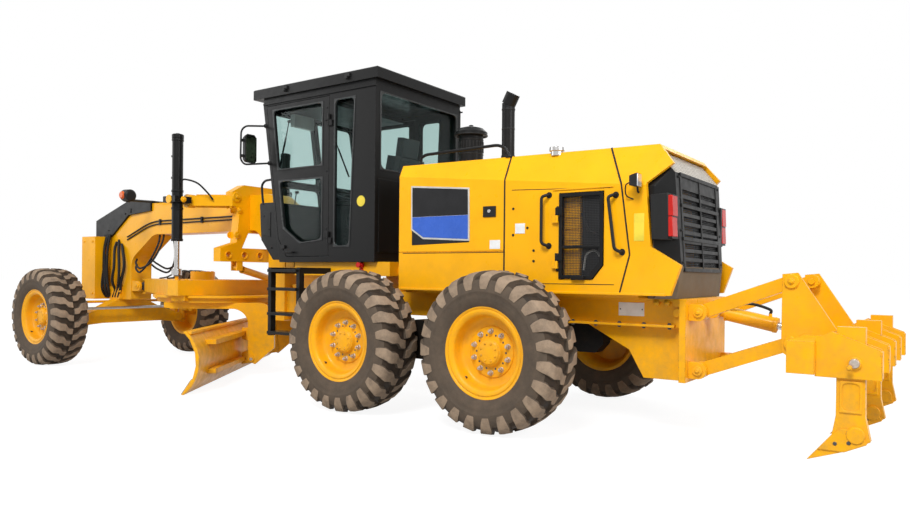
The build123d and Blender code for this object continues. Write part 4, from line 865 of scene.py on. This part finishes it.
def cab_front_at(z):
    """Outer face of the leaning windscreen wall."""
    return 0.713 - 0.163 * (CAB_TOP - z)


def on_side(u, v):
    """Point just inside the side wall, where a seal starts."""
    return u, CAB - 0.01, v


def on_windscreen(u, v):
    """Point just inside the windscreen wall."""
    return cab_front_at(v) - 0.01, u, v


for side in SIDES:
    seals = Shape(side)
    for outline in DOOR_WINDOWS:
        window_band(seals, outline, on_side, (0, 0.016, 0))
    seals.slot = 1
    seals.box((0.345, 0.4), (CAB, CAB + 0.02), (1.51, 1.545))
    line = [(0.33, CAB, 1.47), (0.33, CAB + 0.045, 1.47), (0.215, CAB + 0.045, 1.47), (0.215, CAB, 1.47)]
    seals.tube(bend(line, 0.02), 0.009)
    for z in (1.7, 2.27, 2.9):
        seals.bolt((-0.24, CAB, z), OUT, 0.009)
    seals.done("door_seals_*", "seal plastic", "cab_door_*", bevel=0.003)

    seals = Shape(side)
    window_band(seals, SIDE_WINDOW, on_side, (0, 0.016, 0), radius=0.06)
    seals.done("side_window_seal_*", "seal", bevel=0.003)

    mirror = Shape(side)
    loop = [
        (0.676, CAB - 0.006, 2.813), (0.695, 0.93, 2.775), (0.695, 0.985, 2.72),
        (0.695, 0.99, 2.42), (0.685, 0.95, 2.372), (0.612, CAB - 0.006, 2.414),
    ]
    mirror.tube(bend(loop, 0.05), 0.0095, sides=12)
    for x, z in ((0.672, 2.813), (0.608, 2.414)):
        mirror.peg(x, z, CAB - 0.004, CAB + 0.01, 0.024, 0.02)
    for z in (2.46, 2.62):
        mirror.beam((0.69, 0.992, z), (0.69, 0.93, z), 0.028, 0.02, (1, 0, 0))
    head = [
        (0.812, 2.42), (0.84, 2.392), (0.93, 2.392), (0.957, 2.42),
        (0.957, 2.66), (0.93, 2.69), (0.84, 2.69), (0.812, 2.66),
    ]
    back = [(0.712, a * 0.9 + 0.0885, b * 0.93 + 0.178) for a, b in head]
    mirror.hull([(0.664, a, b) for a, b in head], back)
    mirror.slot = 1
    face = [
        (0.822, 2.425), (0.844, 2.404), (0.926, 2.404), (0.947, 2.425),
        (0.947, 2.655), (0.926, 2.678), (0.844, 2.678), (0.822, 2.655),
    ]
    mirror.hull(*([(x, a, b) for a, b in face] for x in (0.661, 0.665)))
    mirror.done("cab_mirror_*", "plastic mirror", bevel=0.004)

    clips = Shape(side)
    eave = 0.715
    for x in (0.334, -0.545):
        clips.box((x - 0.03, x + 0.03), (eave - 0.03, eave + 0.018), (3.15, 3.186))
        clips.box((x - 0.01, x + 0.02), (eave - 0.005, eave + 0.03), (3.128, 3.16))
        clips.rod((x, eave + 0.006, 3.17), (x, eave + 0.006, 3.196), 0.012, 0.01, sides=12)
    clips.done("roof_clips_*", "plastic", bevel=0.003)

    grab = Shape(side)
    loop = [(0.565, 2.244), (0.7, 2.238), (0.752, 2.195), (0.738, 2.06), (0.722, 1.985)]
    grab.tube(bend([(x, 0.668, z) for x, z in loop], 0.05), 0.012, sides=12)
    grab.done("front_grab_*", "black")

knee = Shape()
outline = [(0.76, 2.0), (0.775, 1.985), (0.748, 1.61), (0.56, 1.395)]
behind = [(cab_front_at(z) - 0.01, z) for z in (2.0, 1.395)]
knee.side_plate(behind[:1] + outline + behind[1:], -0.672, 0.672)
knee.slot = 1
for _ in knee.both():
    knee.side_plate([(0.6, 1.9), (0.735, 1.905), (0.722, 1.66), (0.6, 1.64)], 0.67, 0.678)
    for x, z in ((0.62, 1.72), (0.7, 1.86), (0.585, 1.52)):
        knee.bolt((x, 0.678, z), OUT, 0.008)
knee.done("knee_housing", "black plastic", bevel=0.008)

seals = Shape()
for low, high in ((1.48, 2.18), (2.24, 2.965)):
    for _ in seals.both():
        outline = [(0.035, low), (0.6, low), (0.6, high), (0.035, high)]
        window_band(seals, outline, on_windscreen, (0.016, 0, -0.0026), radius=0.05)
outline = [(-0.62, 2.25), (0.62, 2.25), (0.62, 2.99), (-0.62, 2.99)]
window_band(seals, outline, lambda u, v: (-0.87, u, v), (-0.016, 0, 0), radius=0.07)
seals.done("windscreen_seals", "seal", bevel=0.003)

wipers = Shape()
for _ in wipers.both():
    for top, sweep in ((2.93, 0.18), (2.14, 0.16)):
        foot = top - 0.5
        a = Vector((cab_front_at(foot) + 0.022, 0.33 + sweep, foot))
        b = Vector((cab_front_at(top) + 0.026, 0.33, top))
        wipers.beam(a, b, 0.01, 0.008, (1, 0, 0))
        blade_low = a + (a - b).normalized() * 0.02 + Vector((0, 0.01, 0))
        wipers.beam(blade_low, a + (b - a) * 0.62, 0.018, 0.012, (1, 0, 0))
        wipers.rod(b - Vector((0.025, 0, 0)), b + Vector((0.012, 0, 0)), 0.018, 0.015)
wipers.done("wipers", "plastic", bevel=0.002)

# screwed panel and rain gutter on the rear corners; left only: blank disc, push switch under the floor
trim = Shape()
for _ in trim.both():
    trim.box((-0.886, -0.878), (0.3, 0.64), (1.46, 2.16))
    trim.box((-0.9, 0.7), (0.69, 0.702), (3.03, 3.044))
trim.slot = 2
trim.peg(-0.705, 1.95, 0.689, 0.693, 0.052, sides=40)
trim.slot = 1
trim.peg(-0.68, 1.34, 0.64, 0.668, 0.03, sides=24)
trim.peg(-0.68, 1.34, 0.664, 0.7, 0.02, 0.026, sides=24)
trim.peg(-0.68, 1.29, 0.64, 0.66, 0.02, sides=24)
trim.done("cab_trim", "black red straw", bevel=0.003)

inside = Shape()
inside.box((-0.2, 0.52), (-0.55, 0.55), (2.96, 3.01))
inside.hull(
    quad((0.3, 2.04), (0.36, 2.04), -0.16, 0.16),
    quad((0.22, 2.16), (0.27, 2.17), -0.14, 0.14),
)
for _ in inside.both():
    inside.box((-0.44, -0.02), (0.27, 0.36), (1.965, 2.01))
    for i in range(4):
        x = 0.245 + 0.012 * i
        knob = (x - 0.05, 0.12 + 0.045 * i, 2.17)
        inside.rod((x, 0.1 + 0.035 * i, 2.02), knob, 0.006, sides=8)
        ball = [(-0.018, 0.001), (-0.014, 0.012), (0.0, 0.017), (0.014, 0.012), (0.018, 0.001)]
        inside.lathe(ball, 12, knob, "Z")
inside.slot = 1
inside.hull(
    quad((-0.665, 1.88), (-0.64, 1.86), -0.2, 0.2),
    quad((-0.745, 2.42), (-0.7, 2.43), -0.15, 0.15),
)
inside.slot = 2
inside.box((0.44, 0.5), (0.22, 0.5), (2.82, 2.95))
inside.done("cab_fittings", "plastic cloth pale", bevel=0.006)

# ---- front: lamps, lift cylinders, hoses and pins ----
LIFT_X, LIFT_Y, GIMBAL_Z = 2.06, 0.8, 2.09
SADDLE_X = 1.65
LEG_X = 4.42  # kingpins and the front axle
for side in SIDES:
    lamp = Shape(side)
    lx, ly, lz = 3.42, 0.6, 2.232
    housing = [
        (-0.078, 0.001), (-0.078, 0.058), (-0.064, 0.076), (0.05, 0.08), (0.056, 0.076), (0.056, 0.001),
    ]
    lens = [(0.05, 0.074), (0.074, 0.07), (0.096, 0.054), (0.108, 0.028), (0.11, 0.001)]
    lamp.lathe([(lx + a, r) for a, r in housing], 32, (0, ly, lz), "X")
    lamp.box((lx - 0.02, lx + 0.02), (ly - 0.018, ly + 0.018), (lz - 0.085, lz - 0.05))
    lamp.slot = 1
    lamp.lathe([(lx + a, r) for a, r in lens], 32, (0, ly, lz), "X")
    lamp.peg(lx + 0.01, lz, ly + 0.066, ly + 0.092, 0.054, 0.042, sides=28)
    lamp.slot = 0
    lamp.beam((3.64, 0.1, 2.202), (lx, ly, 2.172), 0.02, 0.042, (0.35, 0.94 * side, 0))
    lamp.done("front_lamp_*", "plastic lamp", FRONT, bevel=0.004)

    lift = Shape(side)
    lift.lathe([
        (2.8, 0.062), (2.8, 0.066), (2.838, 0.066), (2.846, 0.058),
        (2.846, 0.03), (2.856, 0.024), (2.856, 0.001),
    ], 32, (LIFT_X, LIFT_Y, 0), "Z")
    for z in (1.628, 1.99, 2.19, 2.78):
        band = [(z - 0.014, 0.061), (z - 0.012, 0.066), (z + 0.012, 0.066), (z + 0.014, 0.061)]
        lift.lathe(band, 32, (LIFT_X, LIFT_Y, 0), "Z")
    # pressure pipe along the barrel, held by its clamps
    line = [(LIFT_X + x, LIFT_Y, z) for x, z in ((0.058, 2.79), (0.088, 2.77), (0.09, 2.26), (0.086, 2.2))]
    lift.tube(bend(line, 0.025), 0.01)
    for z in (2.35, 2.6):
        lift.box((LIFT_X + 0.052, LIFT_X + 0.104), (LIFT_Y - 0.016, LIFT_Y + 0.016), (z - 0.012, z + 0.012))
    lift.done("lift_fittings_*", "black", "lift_barrel_*", bevel=0.0015)

    hose = Shape(side)
    line = [
        (-0.06, 0, 2.29), (-0.12, -0.01, 2.32), (-0.23, -0.1, 2.28), (-0.29, -0.2, 2.17), (-0.3, -0.26, 2.1),
    ]
    hose.tube(flow([(LIFT_X + x, LIFT_Y + y, z) for x, y, z in line]), 0.01)
    hose.done("lift_hose_*", "hose", "lift_gimbal_*", "dark_steel")

    pins = Shape(side)
    pins.peg(LIFT_X, GIMBAL_Z, 0.905, 0.916, 0.052, 0.048, sides=28)
    for hand in (-1, 1):
        start, end = ((LIFT_X + hand * way, LIFT_Y, GIMBAL_Z) for way in (0.1145, 0.128))
        pins.cap(start, end, 0.036, 0.032, 0.013, sides=24)
    pins.done("gimbal_caps_*", "yellow", "lift_gimbal_*", "yellow_paint", bevel=0.002)

    # steering and lean hoses beside the front frame's leg, and the pipes on the gooseneck
    y = 0.172
    hoses = Shape(side)
    for i, (x, swing) in enumerate(((4.3, 0.05), (4.36, 0.09), (4.23, 0.02))):
        hoses.tube(flow([
            (x + 0.1, 0.15, 1.7 - 0.03 * i), (x + 0.02, y + swing * 0.6, 1.56), (x - 0.03, y + swing, 1.33),
            (x - 0.02 + 0.03 * i, y + swing, 1.13), (x + 0.06, y + 0.02, 1.0), (x + 0.11, 0.19, 0.9),
        ]), 0.019)
    for i in range(4):
        x, out = 4.56 + 0.042 * i, 0.02 * (i % 2)
        hoses.tube(flow([
            (x, 0.19, 1.78), (x + 0.005, 0.225 + out, 1.56), (x - 0.012, 0.24, 1.25),
            (x - 0.035, 0.23 + out, 1.02), (x - 0.02, 0.19, 0.9),
        ]), 0.017)
    for i in range(2):
        hoses.tube(flow([
            (3.52 - 0.1 * i, 0.08, 1.83), (3.5 - 0.08 * i, 0.12, 1.64), (3.6 - 0.06 * i, 0.185, 1.4),
            (3.78, 0.205, 1.255 + 0.05 * i), (3.96, 0.16, 1.3 + 0.07 * i), (4.02, 0.11, 1.36 + 0.07 * i),
        ]), 0.013)
        line = [(4.18, 1.7), (3.6, 1.895), (2.3, 1.9), (1.76, 1.9)]
        hoses.tube(bend([(x, y - 0.012, z + 0.04 * i) for x, z in line], 0.2), 0.009)
    for x in (2.5, 3.0, 3.4):
        hoses.box((x - 0.015, x + 0.015), (y - 0.023, y + 0.002), (1.882, 1.958))
    hoses.done("frame_hoses_*", "hose", FRONT, "dark_steel")

    fix = Shape(side)
    front_bolts = [(x, 0.35, z, 0.014) for x in (4.72, 4.95) for z in (1.68, 0.95)]
    clamp_bolts = [(SADDLE_X + a, 0.4, z, 0.013) for a in (-0.03, 0.03) for z in (2.02, 2.15)]
    for x, y, z, size in [*front_bolts, *clamp_bolts, (4.28, 0.2, 0.98, 0.014), (4.56, 0.2, 0.98, 0.014)]:
        fix.bolt((x, y, z), OUT, size)
    fix.cap((3.96, 0.142, 1.06), (3.96, 0.156, 1.06), 0.04, 0.036, 0.013, sides=26)
    # saddle: hole collars of the link bar, round bosses on its two faces, and ribs along the lift arms
    holes = [0.225, 0.45]
    if side > 0:
        holes.append(0.0)
        for y in (-0.28, 0.28):
            for z in (1.0, 1.62):
                fix.bolt((5.01, y, z), (1, 0, 0), 0.014)
    for hand in (-1, 1):
        for y in holes:
            x = SADDLE_X + hand * 0.062
            outer, inner = ([(x, y + a, 1.4625 + b) for a, b in spread(28, r)] for r in (0.046, 0.035))
            fix.ring(outer, inner, (hand * 0.01, 0, 0))
        for y, z, radius in ((0.345, 2.14, 0.06), (0.3, 1.99, 0.034), (0.33, 1.7, 0.042)):
            start, end = ((SADDLE_X + hand * way, y, z) for way in (0.06, 0.076))
            fix.cap(start, end, radius, radius * 0.92, radius * 0.3)
    for z0, z1 in ((2.158, 2.156), (2.024, 2.026)):
        fix.beam((1.64, 0.345, z0), (1.985, 0.6, z1), 0.022, 0.026, (0.6, -0.8, 0))
    fix.peg(LIFT_X, GIMBAL_Z, 0.68, 0.684, 0.06, 0.056, sides=28)
    fix.done("front_fixings_*", "yellow", FRONT, "yellow_paint", bevel=0.002)

    # black cover's screws and latches
    screws = Shape(side)
    for x, z in ((4.2, 2.06), (4.62, 1.84)):
        screws.bolt((x, 0.178, z), OUT, 0.011)
    screws.box((4.06, 4.12), (0.176, 0.186), (2.07, 2.13))
    screws.done("cover_screws_*", "plastic", FRONT, bevel=0.002)

    carrier = Shape(side)
    for z, up in ((0.52, -1), (0.81, 1)):
        end = z + up * 0.008
        carrier.rod((LEG_X, 0.862, z), (LEG_X, 0.862, end), 0.04, 0.036, sides=24)
        for a, b in spread(3, 0.026, 0.4):
            carrier.bolt((LEG_X + a, 0.862 + side * b, end), (0, 0, up), 0.006)
    carrier.done("kingpin_caps_*", "yellow", "lean_carrier_*", "yellow_paint", bevel=0.0015)

# ---- drawbar, circle and blade fittings ----
CIRCLE_X = 2.32
bolts = Shape()
for _ in bolts.both():
    for angle in (29.5, 108.7):
        ux, uy = math.cos(math.radians(angle)), math.sin(math.radians(angle))
        for along in (-0.055, 0.055):
            place = (CIRCLE_X + ux * 0.812 - uy * along, uy * 0.812 + ux * along, 0.925)
            bolts.bolt(place, (0, 0, -1), 0.013)
    for x in (2.0, 2.12):
        bolts.bolt((x, 0.72, 1.165), UP, 0.014)
for a, b in spread(12, 0.128):
    bolts.bolt((2.7 + a, b, 1.265), UP, 0.009)
bolts.done("drawbar_bolts", "yellow", "drawbar", "yellow_paint", bevel=0.0015)

motor = Shape()
motor_end = [(2.985, 0.056), (2.985, 0.05), (3.03, 0.048), (3.038, 0.04), (3.038, 0.001)]
motor.lathe(motor_end, 28, (0, 0, 1.11), "X")
for _ in motor.both():
    motor.rod((2.9, 0.02, 1.16), (2.9, 0.02, 1.185), 0.014, sides=6)
    motor.tube(flow([
        (2.9, 0.02, 1.18), (2.905, 0.022, 1.23), (2.98, 0.045, 1.275),
        (3.15, 0.06, 1.26), (3.38, 0.07, 1.19), (3.56, 0.055, 1.172),
    ]), 0.01)
motor.done("circle_motor_fittings", "hose", "drawbar", "dark_steel")

# the blade is drawn square to the machine, round the circle's middle, and turned to its rest angle
BLADE_TURN = Matrix.Translation((CIRCLE_X, 0, -DATUM)) @ Matrix.Rotation(math.radians(37.0), 4, "Z")
BLADE_SHIFT, BLADE_REACH = 0.235, 1.83
BLADE_LEFT, BLADE_RIGHT = BLADE_SHIFT + BLADE_REACH, BLADE_SHIFT - BLADE_REACH
EDGE_BOLTS = 24


def blade_face_at(z):
    """Front face of the curved moldboard at a height, before the blade is turned."""
    half, sag = 0.306, 0.13
    radius = (half**2 + sag**2) / (2 * sag)
    rise = z - 0.059 - half
    return -0.24 - sag + radius - math.sqrt(radius**2 - rise**2)


edge = Shape()
for k in range(EDGE_BOLTS):
    y = BLADE_RIGHT + 0.08 + k * (BLADE_LEFT - BLADE_RIGHT - 0.16) / (EDGE_BOLTS - 1)
    edge.bolt((-0.283, y, 0.128), (0.83, 0, 0.55), 0.011)
# end bits at both ends of the cutting edge
for y0, y1 in ((BLADE_LEFT - 0.2, BLADE_LEFT - 0.006), (BLADE_RIGHT + 0.006, BLADE_RIGHT + 0.2)):
    edge.side_plate([(-0.351, 0.19), (-0.238, 0.05), (-0.218, 0.05), (-0.316, 0.2)], y0, y1)
edge.done("cutting_edge_bolts", "steel", "blade", "yellow_paint", bevel=0.002, placed=BLADE_TURN)

ends = Shape()
heights = (0.07, 0.2, 0.33, 0.46, 0.59, 0.668)
outline = [(blade_face_at(z) + 0.004, z) for z in heights]
outline += [(blade_face_at(z) - 0.026, z) for z in reversed(heights)]
for y, hand in ((BLADE_LEFT, 1), (BLADE_RIGHT, -1)):
    ends.side_plate(outline, y - hand * 0.014, y + hand * 0.0005)
# stiffener along the top of the blade
top = blade_face_at(0.655)
ends.box((top - 0.06, top - 0.02), (BLADE_RIGHT + 0.02, BLADE_LEFT - 0.02), (0.64, 0.668))
ends.done("blade_edges", "yellow", "blade", "yellow_paint", bevel=0.003, placed=BLADE_TURN)

tips = Shape()
for _ in tips.both():
    tips.slot = 0
    tips.peg(-0.545, 0.24, 0.65, 0.664, 0.04, 0.036, sides=26)
    tips.slot = 1
    tips.bolt((-0.545, 0.664, 0.24), OUT, 0.014)
tips.done("tip_pin_caps", "yellow nut", "blade_brackets", "yellow_paint", bevel=0.002, placed=BLADE_TURN)

# ---- cylinders: glands, ports and hoses ----


def cylinder_trim(name, body, base, eye, glands, ports, port_rods, sides):
    """Gland rings and hose ports on a barrel between its base and its rod's eye."""
    along = (eye - base).normalized()
    shape = Shape()
    for low, high, r0, r1 in glands:
        shape.rod(base + along * low, base + along * high, r0, r1, sides=sides)
    (inner, outer), r0, r1 = port_rods
    for way in ports:
        port = base + along * way
        shape.rod(port + Vector(inner), port + Vector(outer), r0, r1, sides=6)
    shape.done(name, "yellow", body, "yellow_paint", bevel=0.002)
    return along


ripper_base, ripper_eye = Vector((-3.86, 0, 0.99)), Vector((-4.48, 0, 0.86))
along = cylinder_trim(
    "ripper_gland", "ripper_barrel", ripper_base, ripper_eye,
    ((0.446, 0.474, 0.06, 0.058), (0.082, 0.098, 0.06, 0.06)), (0.13, 0.42),
    (((0, 0, 0.052), (0, 0, 0.078)), 0.014, 0.013), sides=32,
)
hose = Shape()
a, b = (ripper_base + along * way + Vector((0, 0, 0.075)) for way in (0.42, 0.13))
loop = [a + Vector(step) for step in ((0.005, 0.01, 0.035), (0.14, 0.05, 0.075), (0.28, 0.07, 0.055))]
hose.tube(flow([a, *loop, b + Vector((0.06, 0.07, 0.04))]), 0.011)
hose.tube(flow([b, b + Vector((0.005, -0.01, 0.03)), b + Vector((0.06, -0.04, 0.05))]), 0.011)
hose.done("ripper_hoses", "hose", "ripper_barrel", "dark_steel")

cylinder_trim(
    "shift_gland", "shift_barrel", Vector((SADDLE_X, 0.284, 1.312)), Vector((1.85, -0.7, 1.1)),
    ((0.684, 0.716, 0.046, 0.044), (0.092, 0.106, 0.046, 0.044)), (0.14, 0.65),
    (((0.03, 0, 0), (0.06, 0, 0)), 0.012, 0.011), sides=30,
)

# ---- exhaust and air cleaner ----


def bands(shape, rows, depth, segments, x, y):
    """Raised bands round an upright: rows of lower and upper height and radius."""
    for z0, z1, r in rows:
        profile = [(z0, r - depth), (z0, r), (z1, r), (z1, r - depth)]
        shape.lathe(profile, segments, (x, y, 0), "Z", closed=True)


stack, sx, sy = Shape(), -2.07, 0.24
rows = ((2.25, 2.262, 0.1), (2.3, 2.33, 0.063), (2.56, 2.575, 0.06), (2.735, 2.752, 0.061))
bands(stack, rows, 0.012, 36, sx, sy)
for a, b in spread(6, 0.088):
    stack.bolt((sx + a, sy + b, 2.262), UP, 0.008)
stack.done("stack_bands", "plastic", bevel=0.002)

bowl, cx, cy = Shape(), -1.54, 0.06
rows = ((2.252, 2.3, 0.128), (2.4, 2.414, 0.121), (2.54, 2.552, 0.121), (2.584, 2.598, 0.161))
bands(bowl, rows, 0.02, 40, cx, cy)
for a, b in spread(24, 1.0):
    foot = (cx + 0.119 * a, cy + 0.119 * b)
    bowl.beam((*foot, 2.425), (*foot, 2.53), 0.012, 0.008, (a, b, 0))
bowl.lathe([(2.672, 0.024), (2.69, 0.022), (2.694, 0.014), (2.694, 0.001)], 20, (cx, cy, 0), "Z")
bowl.done("cleaner_bands", "plastic", bevel=0.002)

# ---- engine doors: screws, middle bar and latch; the bay that shows through their mesh ----
DOOR = 0.71  # outer face of an engine door
DOOR_MESH = 0.683  # its mesh plate lies inside this
for side in SIDES:
    door = Shape(side)
    for z in (1.3, 1.38, 1.7, 1.79):
        door.bolt((-2.822, DOOR - 0.004, z), OUT, 0.01)
    door.box((-3.205, -2.842), (DOOR - 0.03, DOOR - 0.004), (1.47, 1.49))
    door.box((-3.06, -2.95), (DOOR - 0.002, DOOR + 0.018), (1.222, 1.256))
    door.done("engine_door_trim_*", "black", "engine_door_*", bevel=0.003)

for side in SIDES:
    # cooler, pipes and a belt cover
    bay = Shape(side)
    bay.box((-2.985, -2.845), (0.6, 0.64), (1.215, 1.905))
    for i in range(7):
        bay.box((-2.975, -2.855), (0.636, 0.646), (1.26 + 0.09 * i, 1.3 + 0.09 * i))
    bay.slot = 1
    bay.box((-3.215, -2.985), (0.56, 0.6), (1.215, 1.905))
    bay.tube(flow([(-3.0, 0.62, 1.75), (-3.06, 0.63, 1.62), (-3.16, 0.63, 1.56), (-3.2, 0.61, 1.45)]), 0.016)
    bay.slot = 2
    bay.tube(flow([
        (-3.02, 0.64, 1.3), (-3.05, 0.65, 1.42), (-3.12, 0.65, 1.45),
        (-3.17, 0.64, 1.38), (-3.15, 0.63, 1.28),
    ]), 0.009)
    bay.done("engine_bay_*", "rim groove pale", slot="engine_metal", bevel=0.003)

    mesh = nodes["engine_door_" + SIDES[side]].data
    mesh.materials.append(MATERIALS["net"])
    for polygon in mesh.polygons:
        if abs(polygon.normal.y) > 0.9 and abs(polygon.center.y) < DOOR_MESH:
            polygon.material_index = 1


# ---- stage, light and camera ----
scene = bpy.context.scene
scene.world = bpy.data.worlds.new("studio")
sky = Nodes(scene.world, "World")
lit = sky.add("ShaderNodeBackground", {"Color": (0.93, 0.96, 1.0), "Strength": 0.42})
seen = sky.add("ShaderNodeBackground", {"Color": (1, 1, 1), "Strength": 1.0})
sky.blend(sky.pale_rays(), lit, seen)

REACH = 120.0
floor_mesh = bpy.data.meshes.new("floor")
corners = [(-REACH, -REACH, 0), (REACH, -REACH, 0), (REACH, REACH, 0), (-REACH, REACH, 0)]
floor_mesh.from_pydata(corners, [], [(0, 1, 2, 3)])
floor = bpy.data.objects.new("floor", floor_mesh)
scene.collection.objects.link(floor)
white = Finish("floor_white")
white.look({"Base Color": (0.5, 0.5, 0.5), "Roughness": 0.9})
glow = white.add("ShaderNodeEmission", {"Strength": 1.42})
white.blend(white.math("MULTIPLY", white.pale_rays(), 0.64), white.shader, glow)
floor_mesh.materials.append(white.material)


def area_light(name, place, target, size, power):
    """A square soft light that faces a point."""
    light = bpy.data.lights.new(name, "AREA")
    light.size = size
    light.energy = power
    obj = bpy.data.objects.new(name, light)
    obj.location = place
    obj.rotation_euler = (Vector(target) - Vector(place)).to_track_quat("-Z", "Y").to_euler()
    scene.collection.objects.link(obj)


area_light("key", (-5, 11, 12), (0, 0, 1.2), 5.0, 2100)
area_light("fill", (-13, 2, 6), (-2, 0, 1.2), 6.0, 650)
area_light("front", (12, 7, 6), (2, 0, 1.2), 8.0, 450)
area_light("behind", (2, -13, 9), (0, 0, 1.2), 9.0, 500)

camera_data = bpy.data.cameras.new("camera")
camera = bpy.data.objects.new("camera", camera_data)
scene.collection.objects.link(camera)
scene.camera = camera
camera_data.sensor_width = 36.0
camera_data.lens = 28.88
camera_data.shift_x = -0.0221
camera_data.shift_y = 0.0255
camera_data.clip_end = 400.0
camera.location = (-5.524, 5.838, 1.213)
yaw, pitch, roll = map(math.radians, (-55.83, -0.06, 0.54))
forward = Vector((math.cos(yaw) * math.cos(pitch), math.sin(yaw) * math.cos(pitch), math.sin(pitch)))
camera.rotation_mode = "QUATERNION"
camera.rotation_quaternion = forward.to_track_quat("-Z", "Y") @ Matrix.Rotation(roll, 3, "Z").to_quaternion()
scene.view_settings.view_transform = "Standard"
